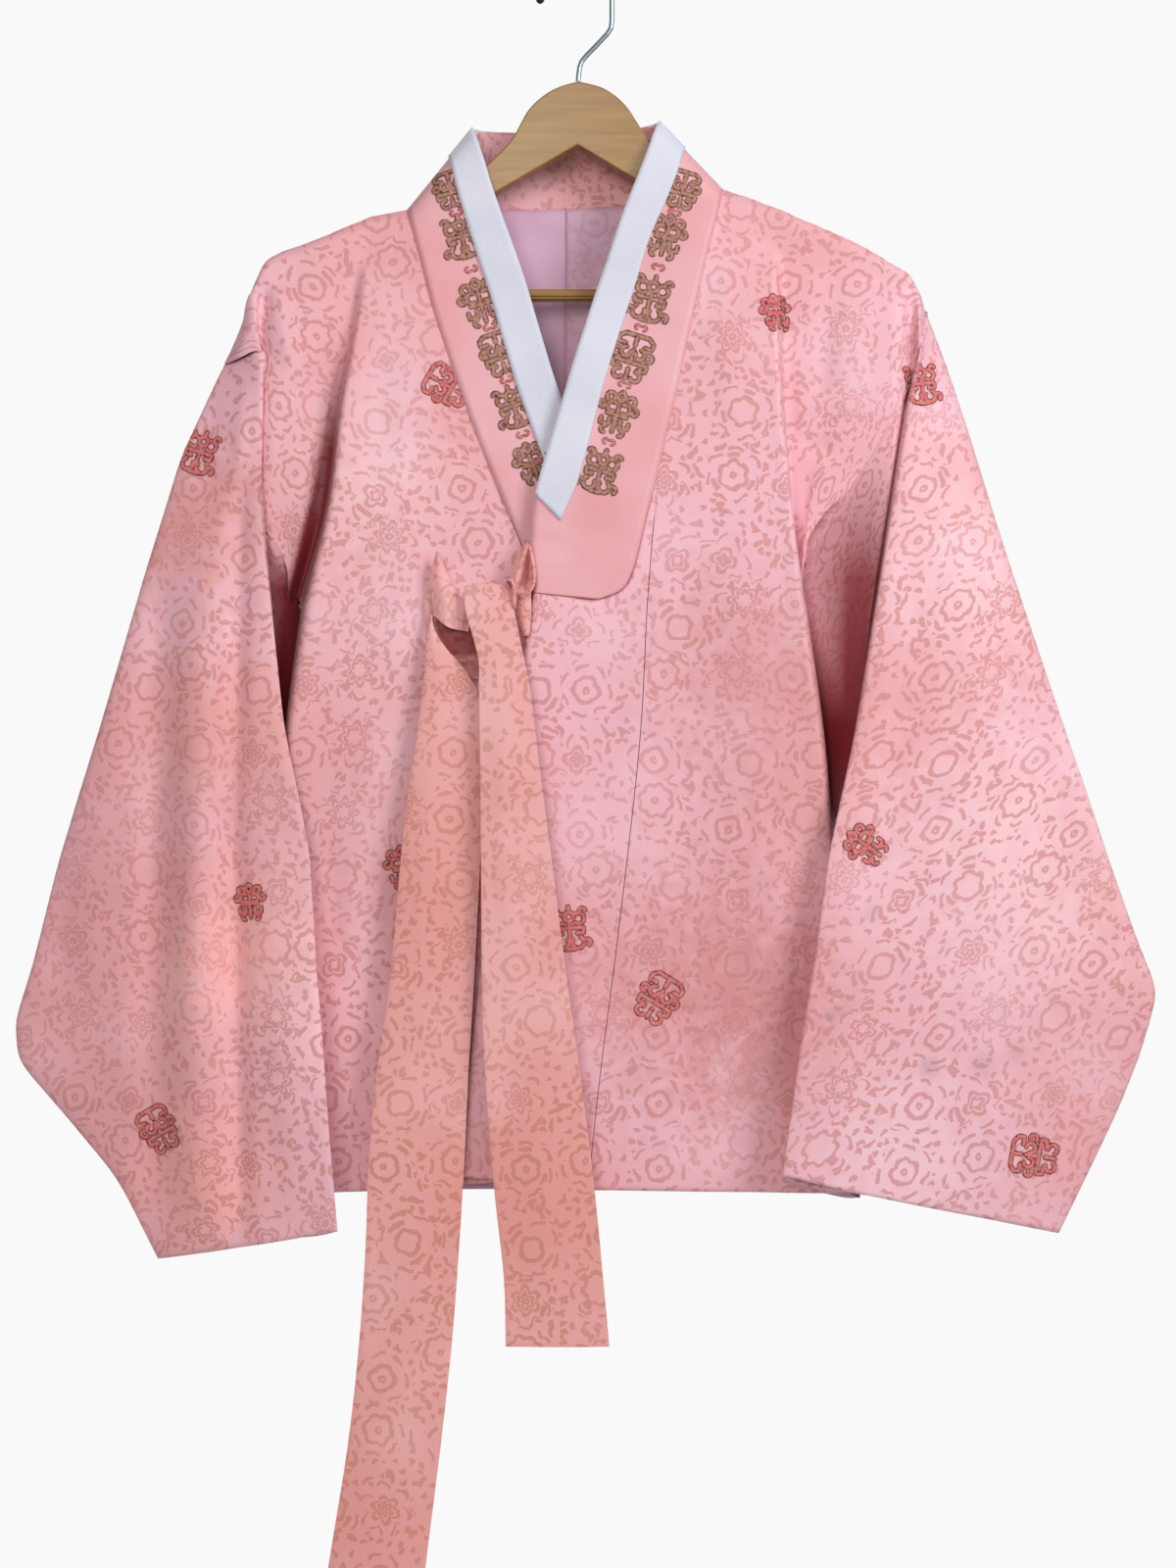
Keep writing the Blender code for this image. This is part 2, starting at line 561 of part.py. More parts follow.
def make_overlaps():
    rows = (0.0, 0.06, 0.14, 0.25, 0.38, 0.52, 0.66, 0.8, 0.9, 1.0)
    tops = [np.array(point, float) for point in OVERLAP_TOP]
    grid = []
    for share in rows:
        free, seam = smooth_at(OVERLAP_EDGE, share), smooth_at(OVERLAP_SEAM, share)
        points = []
        for top, across in zip(tops, OVERLAP_TOP_SHARES):
            bow = top - (tops[0] + (tops[-1] - tops[0]) * across)
            points.append(free + (seam - free) * across + bow * (1 - smooth_step(share / 0.4)))
        grid.append(points)
    sheet("overlap_outer", grid, CLOTH, "damask", towards=(0, -1, 0))
    grid = []
    for share in rows[:1] + rows[2:]:
        seam, edge = line_point(INNER_OVERLAP["seam"], share), line_point(INNER_OVERLAP["edge"], share)
        seam[0] += SEAM_GAP
        grid.append([seam, (seam + edge) / 2, edge])
    sheet("overlap_inner", grid, CLOTH, "damask", towards=(0, -1, 0))


def make_linings():
    """The lining that the open neck shows, over the back below the collar's seam."""
    for name, upper in (("lining_right", BACK_RIGHT_UPPER), ("lining_left", BACK_LEFT_UPPER)):
        grid = []
        for share in (0.03, 0.15, 0.3, 0.5, 0.72):
            row = [line_point(upper[line], share) for line in ("centre", "nape", "blade")]
            grid.append([point - np.array([0.0, CLOTH + 0.8, 1.5]) for point in row])
        sheet(name, grid, LINING, "lining", towards=(0, 1, 0))


def make_ribbon(name, rows, columns=3, bow=1.0):
    grid = []
    for left, right, depth, z in rows:
        points = []
        for j in range(columns):
            share = j / (columns - 1)
            forward = bow * math.sin(math.pi * share)
            points.append(np.array([left + (right - left) * share, depth - forward, z]))
        grid.append(points)
    sheet(name, grid, RIBBON, "damask", towards=(0, -1, 0))


def make_tube(name, points, radius, material, sides_level=2):
    data = bpy.data.curves.new(name, "CURVE")
    data.dimensions = "3D"
    data.bevel_depth = radius * MM
    data.bevel_resolution = sides_level
    data.use_fill_caps = True
    spline = data.splines.new("POLY")
    spline.points.add(len(points) - 1)
    for knot, point in zip(spline.points, points):
        knot.co = (*[value * MM for value in point], 1.0)
    data.materials.append(finish(material))
    obj = bpy.data.objects.new(name, data)
    bpy.context.scene.collection.objects.link(obj)
    return obj


def make_hook():
    centre_z = WIRE_RADIUS - HOOK_RADIUS
    route = [(1.2, 0, -72.0), (1.6, 0, -68.0), (2.2, 0, -63.0), (3.6, 0, -59.5), (6.0, 0, -56.5)]
    route += [(14.0, 0, -48.2), (19.5, 0, -42.4), (21.8, 0, -38.8), (22.4, 0, -34.5), (22.4, 0, -27.5)]
    for step in range(17):
        angle = math.radians(172 * step / 16)
        route.append((HOOK_RADIUS * math.cos(angle), 0, centre_z + HOOK_RADIUS * math.sin(angle)))
    make_tube("hanger_hook", route, WIRE_RADIUS, "steel", 3)
    end = math.radians(172)
    reach = BALL_RADIUS + 0.3
    ball = (HOOK_RADIUS * math.cos(end) - reach * math.sin(end),
            0, centre_z + HOOK_RADIUS * math.sin(end) - reach * abs(math.cos(end)))
    bm = bmesh.new()
    bmesh.ops.create_uvsphere(bm, u_segments=12, v_segments=8, radius=BALL_RADIUS * MM)
    bmesh.ops.translate(bm, verts=bm.verts[:], vec=Vector(ball) * MM)
    add_object("hook_ball", bm, "black_ball")


def make_wood():
    """The arms and the arch, a row of rounded sections along x."""
    sides = 12
    bm = bmesh.new()
    rings = []
    for x, top, height in HANGER_SECTIONS:
        ring = []
        for k in range(sides):
            angle = 2 * math.pi * (k + 0.5) / sides
            across, up = math.cos(angle), math.sin(angle)
            y = WOOD_HALF_DEPTH * math.copysign(abs(across) ** 0.6, across)
            reach = math.copysign(abs(up) ** 0.6, up) / math.sin(math.pi * 2.5 / 6) ** 0.6
            z = top - height / 2 + reach * height / 2
            ring.append(bm.verts.new((x * MM, y * MM, z * MM)))
        rings.append(ring)
    for near, far in zip(rings, rings[1:]):
        for k in range(sides):
            bm.faces.new((near[k], near[(k + 1) % sides], far[(k + 1) % sides], far[k]))
    bm.faces.new(rings[0])
    bm.faces.new(rings[-1])
    bmesh.ops.recalc_face_normals(bm, faces=bm.faces[:])
    add_object("hanger_wood", bm, "wood")
    make_tube("hanger_bar", [(BAR_ENDS[0], 0, BAR_Z), (BAR_ENDS[1], 0, BAR_Z)], BAR_RADIUS, "wood", 3)


clear_scene()
make_hook()
make_wood()
make_fronts()
make_back("back_right", BACK_RIGHT_UPPER, BACK_RIGHT_LOWER)
make_back("back_left", BACK_LEFT_UPPER, BACK_LEFT_LOWER)
make_sleeve("sleeve_right", SLEEVE_RIGHT, FRONT_RIGHT_UPPER, BACK_RIGHT_UPPER)
make_sleeve("sleeve_left", SLEEVE_LEFT, FRONT_LEFT_UPPER, BACK_LEFT_UPPER)
make_collar()
make_white_bands()
make_overlaps()
make_linings()
make_ribbon("ribbon_right_tail", RIGHT_TAIL)
make_ribbon("ribbon_left_tail", LEFT_TAIL)
make_ribbon("ribbon_right_root", RIGHT_ROOT)
make_ribbon("ribbon_left_root", LEFT_ROOT)
make_ribbon("knot_loop_right", RIGHT_LOOP)
make_ribbon("knot_loop_left", LEFT_LOOP)
make_tube("knot_roll", ROLL_PATH, ROLL_RADIUS, "damask")
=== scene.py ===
"""The looks of a Korean jacket (jeogori) of figured silk on a wooden hanger.

Laid out as a Blender add-on and run as a script. Metres, +Z up, and the wearer's front faces -Y.
Tables of the cut are in millimetres, and depth is the distance behind the hanger's middle plane.
"""

import math

import bmesh
import bpy
import numpy as np
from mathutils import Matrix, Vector, noise
from mathutils.bvhtree import BVHTree


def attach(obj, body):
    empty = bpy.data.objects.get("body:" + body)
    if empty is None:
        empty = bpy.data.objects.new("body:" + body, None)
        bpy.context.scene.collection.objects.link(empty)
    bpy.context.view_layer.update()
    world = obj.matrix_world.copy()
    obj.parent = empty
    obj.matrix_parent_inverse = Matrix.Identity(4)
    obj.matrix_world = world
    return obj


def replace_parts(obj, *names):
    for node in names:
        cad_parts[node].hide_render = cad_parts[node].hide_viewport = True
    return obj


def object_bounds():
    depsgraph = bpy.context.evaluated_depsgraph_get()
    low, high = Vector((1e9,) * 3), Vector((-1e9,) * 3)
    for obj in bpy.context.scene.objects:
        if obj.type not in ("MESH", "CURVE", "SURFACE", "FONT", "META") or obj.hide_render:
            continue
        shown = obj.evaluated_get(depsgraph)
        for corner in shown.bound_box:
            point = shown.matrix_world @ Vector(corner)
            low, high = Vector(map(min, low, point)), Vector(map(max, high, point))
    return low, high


bl_info = {
    "name": "Jeogori on a hanger",
    "version": (1, 0, 0),
    "blender": (4, 5, 0),
    "location": "View3D > Sidebar > Jeogori",
    "description": "Figured silk jacket with collar, ribbons, hanger, light and camera",
    "category": "Object",
}

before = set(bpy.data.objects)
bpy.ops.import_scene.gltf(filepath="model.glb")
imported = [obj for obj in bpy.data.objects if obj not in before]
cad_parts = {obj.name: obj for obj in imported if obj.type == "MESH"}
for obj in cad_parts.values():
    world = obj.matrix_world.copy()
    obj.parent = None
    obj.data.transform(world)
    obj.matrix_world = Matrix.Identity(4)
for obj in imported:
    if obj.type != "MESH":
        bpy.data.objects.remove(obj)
CAD_LOW, CAD_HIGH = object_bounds()

MM = 0.001
MATH = "ShaderNodeMath"
VECTOR_MATH = "ShaderNodeVectorMath"
BODY = "root"

# Where the camera looks at the hanger's plane, across and up, in metres.
VIEW_CENTRE = (0.0074, -0.5129)

# Cloth walls and gaps, in millimetres.
CLOTH = 1.0
COLLAR = 2.0
WHITE_BAND = 1.2
LINING = 0.8
RIBBON = 1.8
SEAM_GAP = 0.45
RIDGE_GAP = 0.8
ARM_RADIUS = 8.0
STEP = 3.0
SEAM_TUCK = 3.5
WHITE_BAND_WIDTH = 23.0
WHITE_BAND_OVERHANG = 0.8
# Height of the armpits, where a panel's upper fold lines end and its lower ones start.
ARMPIT_Z = -399.0
# How far down the back the lining is made, as a share of the way to the armpits.
LINING_SPAN = (-0.012, 0.74)

# The fold beside each armpit. The sleeve closes on the body and both run deeper, in millimetres.
UNDERARM_CLOSING = 12.0
UNDERARM_DEEPER = 13.0
# The shares of a sleeve's drop over which that comes, where it starts to go, and over which it goes.
UNDERARM_START, UNDERARM_END, UNDERARM_FADE = 0.08, 0.42, 0.14
VALLEY_DEEPER = 12.0
# The dark red shade painted into that fold on a front, in coarse columns: where it opens and closes, over
# what width, and how many columns it widens by on the way down. Then the drop that it deepens over, in
# millimetres.
FOLD_OPENS, FOLD_OPENING = 4.06, 0.22
FOLD_CLOSES, FOLD_CLOSING, FOLD_WIDENS = 5.3, 0.5, 0.95
FOLD_DROP, FOLD_DARKENS = 110.0, 1.7
# The height where it starts on each front.
RIGHT_FOLD_TOP, LEFT_FOLD_TOP = -240.0, -400.0
# Where the painted fold shade shows on a sleeve: its top, the drop to its deepest part, and the drop that
# its edge darkens over.
SLEEVE_FOLD_TOP, SLEEVE_FOLD_DEEP, SLEEVE_FOLD_DROP = -300.0, 60.0, 85.0
# The drop that the deepest part comes up over on each sleeve.
RIGHT_SLEEVE_DEEPENING, LEFT_SLEEVE_DEEPENING = 30.0, 115.0
# How strongly the painted fold shade covers the cloth at most, and its dark red colour.
FOLD_SHADE_DARKEST = 0.95
FOLD_SHADE_COLOUR = "#7A0519"


# The collar's bands: outer x, depth, z (the seam to the panel), then inner x, depth, z (the neck edge).
COLLAR_RIGHT = (
    (-106.0, -1.2, -153.0, -65.0, 0.5, -102.0),
    (-104.5, -7.4, -158.5, -62.0, -6.5, -111.0),
    (-102.0, -10.5, -167.0, -57.0, -10.5, -127.0),
    (-97.0, -12.5, -186.0, -51.0, -12.0, -147.0),
    (-88.0, -15.0, -220.0, -34.0, -13.0, -195.0),
    (-78.5, -18.0, -250.0, -24.0, -15.5, -229.0),
    (-68.0, -20.0, -279.0, -14.0, -17.0, -262.0),
    (-55.0, -20.5, -313.0, -3.0, -17.5, -292.0),
    (-43.0, -20.0, -342.0, 8.0, -18.0, -320.0),
    (-31.0, -18.5, -371.0, 19.0, -18.0, -350.0),
)
COLLAR_LEFT = (
    (92.0, -1.2, -140.0, 52.0, 0.5, -98.0),
    (90.5, -7.4, -146.0, 49.0, -6.5, -106.0),
    (88.5, -10.5, -155.0, 45.5, -10.5, -117.0),
    (84.0, -12.5, -173.0, 39.5, -12.0, -133.0),
    (76.0, -16.0, -206.0, 30.0, -13.5, -157.0),
    (69.0, -18.0, -236.0, 19.0, -16.0, -190.0),
    (62.0, -20.5, -270.0, 8.0, -19.5, -223.0),
    (55.0, -22.5, -300.0, -2.0, -23.0, -255.0),
    (49.0, -24.0, -326.0, -12.0, -25.5, -290.0),
    (44.0, -25.0, -345.0, -21.0, -26.5, -320.0),
    (41.0, -25.5, -358.0, -27.0, -27.0, -345.0),
    (35.0, -26.0, -381.0, -28.5, -27.5, -372.0),
    (28.0, -26.5, -393.0, -26.5, -27.5, -389.0),
    (14.0, -27.0, -399.0, -26.0, -27.5, -395.0),
)
# The slanting end of the left white band: x, depth, z of its two corners.
WHITE_BAND_TIP = ((-25.5, -26.8, -334.0), (-9.5, -26.4, -350.5))
COLLAR_BACK = (
    (-106.0, 2.6, -153.4, -65.0, 8.5, -101.8),
    (-91.0, 12.0, -150.5, -60.0, 17.5, -99.0),
    (-47.0, 20.0, -150.0, -43.0, 25.0, -98.0),
    (-7.0, 22.0, -149.0, -7.0, 29.0, -98.0),
    (32.0, 20.0, -147.0, 32.0, 25.0, -96.0),
    (78.0, 12.0, -140.5, 47.0, 17.5, -95.5),
    (92.0, 2.6, -140.4, 52.0, 8.5, -97.5),
)

# Fold lines that run down a panel. Each: (top z, end z), x at five even drops, depth at the same five.
FRONT_RIGHT_UPPER = {
    "fold": ((-157, -399), (-128, -133, -143, -150, -163), (0, -16, -22, -26, -28)),
    "valley": ((-160, -397), (-135, -140, -151, -159, -176), (0, -10, -6, 0, 2)),
    "side": ((-163, -397), (-143, -147, -156, -163, -179), (0, -11, -8, -4, 4)),
    "lobe": ((-167, -380), (-152, -157, -165, -168, -181), (0, -12, -12, -12, -7)),
    "arm": ((-175, -351), (-172, -176, -180, -185, -196), (0, -13, -15, -15, -12)),
    "edge": ((-180, -318), (-186, -188, -191, -195, -198), (0, -12, -13, -13, -11)),
    "slit": ((-185, -293), (-194, -195, -196, -197, -198), (0, -8, -9, -9, -9)),
    "crease": ((-196, -244), (-200, -200, -200, -200, -200), (0, -10, -13, -14, -15)),
    "cap": ((-226, -248), (-210, -210, -210, -210, -210), (0, -6, -9, -11, -12)),
    "tip": ((-245, -250), (-218, -219, -219.5, -220, -220.5), (0, -1.2, -1.8, -2.2, -2.5)),
}
FRONT_RIGHT_LOWER = {
    "neck": ((-399, -758), (-19, -16, -14, -13, -14), (-18, -19, -19, -18, -18)),
    "fold": ((-399, -770), (-163, -178, -188, -192, -195), (-28, -24, -18, -13, -11)),
    "valley": ((-397, -772), (-176, -185, -193, -197, -200), (2, -5, -6, -4, -3)),
    "side": ((-397, -775), (-179, -187, -196, -201, -205), (4, 3, 2, 2, 2)),
}
FRONT_LEFT_UPPER = {
    "fold": ((-151, -400), (123, 123, 125, 131, 138), (0, -18, -25, -28, -29)),
    "valley": ((-153, -397), (129, 130, 132, 136, 139), (0, -9, -8, -5, -2)),
    "side": ((-156, -397), (135, 137, 139, 140, 139), (0, -10, -10, -8, 4)),
    "lobe": ((-162, -374), (149, 151, 152, 149, 143), (0, -12, -13, -12, -9)),
    "arm": ((-176, -325), (180, 180, 182, 179, 173), (0, -13, -15, -15, -13)),
    "edge": ((-188, -278), (200, 202, 202, 202, 203), (0, -12, -14, -14, -12)),
    "slit": ((-192, -255), (207, 209, 210, 210, 210), (0, -4, -3, -3, -3)),
    "crease": ((-201, -236), (213, 214, 214, 214, 214), (0, -8, -11, -13, -14)),
    "cap": ((-207, -229), (216, 216, 217, 217, 217), (0, -5, -7, -8, -9)),
    "tip": ((-213, -219), (218, 218, 219, 219, 219), (0, -1.2, -1.8, -2.2, -2.5)),
}
FRONT_LEFT_LOWER = {
    "fold": ((-400, -768), (138, 151, 159, 164, 168), (-29, -25, -19, -14, -11)),
    "valley": ((-397, -771), (139, 157, 165, 169, 173), (-2, -5, -6, -4, -3)),
    "side": ((-397, -773), (139, 159, 168, 173, 178), (4, 3, 2, 2, 2)),
}
BACK_RIGHT_UPPER = {
    "centre": ((-151, -399), (-7.5, -7.5, -7.5, -7.5, -7.5), (23, 20, 18, 17, 17)),
    "nape": ((-152, -399), (-48, -49, -51, -53, -55), (21, 19, 18, 17, 17)),
    "blade": ((-153, -399), (-91, -94, -98, -103, -108), (13, 16, 17, 17, 17)),
    "shoulder": ((-155, -398), (-107, -112, -122, -134, -148), (0, 13, 16, 17, 16)),
    "side": ((-163, -397), (-143, -149, -157, -166, -180), (0, 9, 13, 14, 5)),
    "arm": ((-175, -364), (-172, -178, -184, -189, -194), (0, 9, 12, 13, 11)),
    "edge": ((-181, -340), (-187, -190, -194, -199, -205), (0, 9, 12, 12, 11)),
    "crease": ((-196, -309), (-200, -201, -204, -209, -216), (0, 7, 9, 10, 10)),
    "cap": ((-226, -272), (-210, -213, -215, -218, -221), (0, 4, 6, 7, 7)),
    "tip": ((-245, -251), (-218, -219, -220, -221, -222), (0, 1.2, 1.8, 2.2, 2.5)),
}
BACK_RIGHT_LOWER = {
    "centre": ((-399, -770), (-7.5, -7.5, -7.5, -7.5, -7.5), (17, 17, 18, 18, 18)),
    "nape": ((-399, -770), (-55, -58, -61, -63, -64), (17, 17, 17, 18, 18)),
    "blade": ((-399, -771), (-108, -112, -117, -121, -124), (17, 17, 17, 17, 17)),
    "shoulder": ((-398, -773), (-148, -155, -164, -172, -178), (16, 16, 15, 14, 14)),
    "side": ((-397, -775), (-180, -187, -196, -201, -205), (5, 5.6, 5.2, 5.2, 5.2)),
}
BACK_LEFT_UPPER = {
    "centre": ((-151, -399), (-6.5, -6.5, -6.5, -6.5, -6.5), (23, 20, 18, 17, 17)),
    "nape": ((-149, -399), (33, 34, 35, 36, 37), (21, 19, 18, 17, 17)),
    "blade": ((-143, -399), (78, 79, 80, 81, 82), (13, 16, 17, 17, 17)),
    "shoulder": ((-142, -398), (93, 97, 102, 107, 112), (0, 13, 16, 17, 16)),
    "side": ((-156, -397), (135, 139, 141, 142, 139), (0, 9, 13, 14, 5)),
    "arm": ((-176, -352), (180, 183, 184, 179, 168), (0, 9, 12, 13, 11)),
    "edge": ((-187, -322), (199, 202, 202, 197, 188), (0, 9, 12, 13, 11)),
    "crease": ((-201, -290), (213, 215, 215, 213, 209), (0, 7, 9, 10, 10)),
    "cap": ((-207, -247), (216, 219, 221, 222, 224), (0, 4, 6, 7, 7)),
    "tip": ((-213, -219), (218, 219, 220, 220, 221), (0, 1.2, 1.8, 2.2, 2.5)),
}
BACK_LEFT_LOWER = {
    "centre": ((-399, -770), (-6.5, -6.5, -6.5, -6.5, -6.5), (17, 17, 18, 18, 18)),
    "nape": ((-399, -770), (37, 40, 43, 45, 46), (17, 17, 17, 18, 18)),
    "blade": ((-399, -770), (82, 86, 92, 96, 99), (17, 17, 17, 17, 17)),
    "shoulder": ((-398, -771), (112, 125, 136, 144, 151), (16, 16, 15, 14, 14)),
    "side": ((-397, -773), (139, 159, 168, 173, 178), (5, 5.6, 5.2, 5.2, 5.2)),
}

# Sleeve sections: how far down, then x, depth, z of the outer edge, the inner crease and the armpit side.
SLEEVE_RIGHT = (
    (0.00, -221, -2, -252, -200, -15, -246, -181, 4, -399),
    (0.12, -247, -4, -308, -200, -18, -313, -184, 2, -421),
    (0.25, -270, -5, -382, -190, -24, -392, -187.5, 0, -454),
    (0.40, -297, -6, -476, -180, -29, -474, -193, -6, -507),
    (0.48, -311, -6, -522, -172, -33, -516, -194.5, -18, -536),
    (0.55, -323, -6, -562, -165, -36, -555, -187, -28, -561),
    (0.67, -339, -6, -626, -160, -39, -624, -170, -30, -624),
    (0.74, -350, -6, -661, -157, -40, -657, -167, -31, -657),
    (0.80, -348, -6, -686, -155, -41, -680, -164, -32, -681),
    (0.87, -317, -8, -721, -152, -42, -719, -160, -33, -720),
    (0.94, -285, -10, -759, -149, -42, -752, -156, -34, -753),
    (1.00, -260, -12, -808, -146, -42, -786, -153, -34, -789),
)
SLEEVE_LEFT = (
    (0.00, 220, -2, -221, 215, -14, -239, 141, 4, -399),
    (0.12, 244, -4, -290, 204, -18, -297, 148, 2, -421),
    (0.25, 272, -5, -378, 191, -23, -371, 155, 0, -454),
    (0.40, 304, -6, -475, 173, -29, -474, 166, -6, -507),
    (0.48, 319, -6, -519, 164, -33, -516, 169, -18, -536),
    (0.55, 331, -6, -556, 156, -36, -555, 164, -28, -567),
    (0.67, 349, -6, -608, 148, -39, -612, 158, -30, -624),
    (0.74, 363, -6, -643, 143, -40, -645, 153, -31, -657),
    (0.80, 352, -6, -681, 138, -41, -677, 148, -32, -681),
    (0.87, 338, -8, -715, 134, -42, -704, 143, -33, -711),
    (0.94, 320, -10, -752, 130, -42, -731, 139, -34, -738),
    (1.00, 300, -12, -792, 127, -43, -753, 135, -34, -758),
)
# Where each seam line of a panel meets the sleeve's ring: along crease-to-armpit or armpit-to-outer edge.
FRONT_SEAM_LINES = (("slit", 0.08), ("edge", 0.2), ("arm", 0.42), ("lobe", 0.72))
BACK_SEAM_LINES = (("arm", 0.28), ("edge", 0.46), ("crease", 0.66), ("cap", 0.88))
SLEEVE_FULLNESS = 19.0
SLEEVE_FRONT_BULGE = 5.0

# The outer overlap's free edge and its seam to the left front: x, depth, z.
OVERLAP_EDGE = ((-26, -27.5, -396.5), (-41, -28, -489), (-56, -26.5, -604), (-66, -25.5, -694),
                (-72.5, -25, -755))
OVERLAP_TOP = ((-26, -27.5, -396.5), (-6, -27.3, -398.8), (14, -27, -400.3), (29.5, -26.5, -394.5),
               (36.5, -26, -381.5), (42.3, -25.5, -358.5), (49.8, -24, -328))
OVERLAP_TOP_SHARES = (0.0, 0.27, 0.53, 0.74, 0.84, 0.92, 1.0)
OVERLAP_SEAM = ((49.8, -24, -328), (44, -25.5, -399), (39, -26, -488), (26, -25.5, -604), (15, -25, -690),
                (7, -25, -763.5))
# The inner overlap's free edge under it. Its seam is the right front's edge.
INNER_OVERLAP_EDGE = ((-405, -756), (36, 31, 20, 10, 2), (-17, -18, -18, -17, -17))

# Ribbon tails: left x, right x, depth, z.
RIGHT_TAIL = (
    (-89.6, -88.8, -30.5, -408.6),
    (-90.9, -86.6, -31.8, -418.0),
    (-91.8, -81.6, -32.5, -427.0),
    (-92.4, -74.0, -33.0, -436.0),
    (-92.9, -66.0, -33.4, -446.0),
    (-94.8, -59.5, -33.8, -462.0),
    (-100.0, -58.0, -34.0, -500.0),
    (-106.0, -58.0, -34.0, -543.0),
    (-114.0, -62.5, -34.0, -633.0),
    (-122.4, -66.0, -34.0, -692.0),
    (-127.2, -68.5, -34.0, -745.0),
    (-129.0, -71.5, -34.0, -795.0),
    (-133.0, -76.0, -34.0, -855.0),
    (-139.5, -82.5, -34.0, -915.0),
    (-149.0, -90.0, -34.0, -975.0),
    (-156.5, -95.5, -34.0, -1020.0),
)
LEFT_TAIL = (
    (-68.8, -42.6, -35.0, -392.0),
    (-68.5, -41.8, -38.2, -392.4),
    (-67.6, -40.8, -40.0, -395.8),
    (-67.9, -38.8, -41.2, -402.5),
    (-66.4, -36.8, -41.8, -411.0),
    (-62.0, -33.8, -42.3, -426.0),
    (-59.2, -30.8, -42.6, -440.0),
    (-59.2, -27.5, -42.8, -458.0),
    (-58.4, -22.0, -43.0, -503.0),
    (-57.8, -13.0, -43.0, -573.0),
    (-57.2, -5.2, -43.0, -634.0),
    (-55.4, 2.6, -43.0, -689.0),
    (-49.8, 11.4, -43.0, -760.0),
    (-44.0, 16.6, -43.0, -814.0),
    (-42.8, 20.5, -43.0, -856.0),
)
TAIL_TOP_BOW = 2.4
RIGHT_LOOP = (
    (-91.2, -88.0, -26.0, -393.7),
    (-93.8, -88.0, -26.8, -399.5),
    (-93.4, -88.0, -27.0, -407.0),
    (-91.6, -88.5, -26.5, -416.5),
)
LEFT_LOOP = (
    (-36.0, -27.6, -30.5, -394.0),
    (-35.4, -27.4, -31.0, -409.0),
    (-32.4, -28.6, -31.0, -421.8),
)
# Each leaf of the knot: its edges and creases from left to right, each a line of x, depth, z from
# top to bottom, then where it lies in shadow: from and to across, from and to down, strength.
RIGHT_ROOT = (
    (((-85.6, -29.5, -370.2), (-88.9, -30.5, -380.0), (-89.1, -31.0, -390.0), (-88.5, -31.0, -400.0),
      (-87.5, -31.0, -409.2)),
     ((-85.0, -30.5, -370.1), (-84.2, -32.5, -382.4), (-81.2, -34.5, -394.0), (-78.5, -35.5, -404.5),
      (-79.0, -36.0, -416.4)),
     ((-84.4, -29.5, -370.0), (-78.4, -30.5, -385.0), (-72.0, -31.5, -397.5), (-64.5, -32.0, -401.5),
      (-66.0, -32.5, -419.4))),
    ((0.0, 1.0, 0.32, 0.345, 0.22), (0.84, 0.855, 0.8, 1.0, 1.0), (0.885, 0.9, 0.78, 1.0, 1.0),
     (0.93, 0.945, 0.76, 1.0, 1.0)),
)
RIGHT_TURN = (
    (((-88.6, -29.0, -407.5), (-85.0, -29.6, -421.0), (-78.0, -29.8, -434.0), (-71.0, -30.0, -446.0)),
     ((-75.5, -30.8, -407.0), (-73.0, -31.0, -420.0), (-68.0, -31.0, -434.0), (-64.0, -31.0, -448.0)),
     ((-62.0, -29.0, -404.0), (-60.0, -29.4, -418.0), (-58.0, -29.6, -432.0), (-57.0, -30.0, -449.0))),
    ((0.0, 1.0, 0.0, 0.7, 0.95), (0.0, 1.0, 0.7, 1.0, 0.65)),
)
LEFT_ROOT = (
    (((-30.2, -30.5, -363.3), (-33.8, -31.0, -369.5), (-38.3, -31.5, -378.1), (-40.4, -32.0, -385.5),
      (-40.0, -32.0, -391.5)),
     ((-29.9, -31.5, -363.2), (-31.6, -34.0, -371.5), (-34.2, -35.0, -380.0), (-36.2, -35.0, -387.5),
      (-37.4, -34.5, -395.0)),
     ((-29.7, -31.0, -363.3), (-29.6, -30.5, -371.5), (-30.6, -30.0, -381.0), (-32.2, -30.0, -389.0),
      (-35.0, -31.5, -396.5)),
     ((-29.4, -30.5, -363.4), (-27.4, -33.5, -373.5), (-25.8, -34.5, -384.0), (-27.0, -34.5, -392.5),
      (-33.0, -33.5, -399.0))),
    ((0.47, 0.78, 0.22, 0.85, 0.7),),
)
KNOT_ROLL = (
    (((-43.3, -41.0, -389.9), (-41.0, -41.5, -391.5), (-40.2, -41.5, -395.5), (-39.6, -41.5, -401.0),
      (-38.4, -41.0, -406.0)),
     ((-40.8, -43.5, -388.0), (-38.8, -44.6, -389.8), (-38.0, -44.8, -394.4), (-37.9, -44.2, -400.0),
      (-37.4, -43.0, -405.5)),
     ((-38.8, -41.0, -387.6), (-36.6, -41.2, -389.6), (-35.8, -41.4, -394.0), (-36.2, -41.4, -399.8),
      (-36.6, -41.0, -405.0))),
    ((0.0, 0.34, 0.05, 0.45, 0.85),),
)

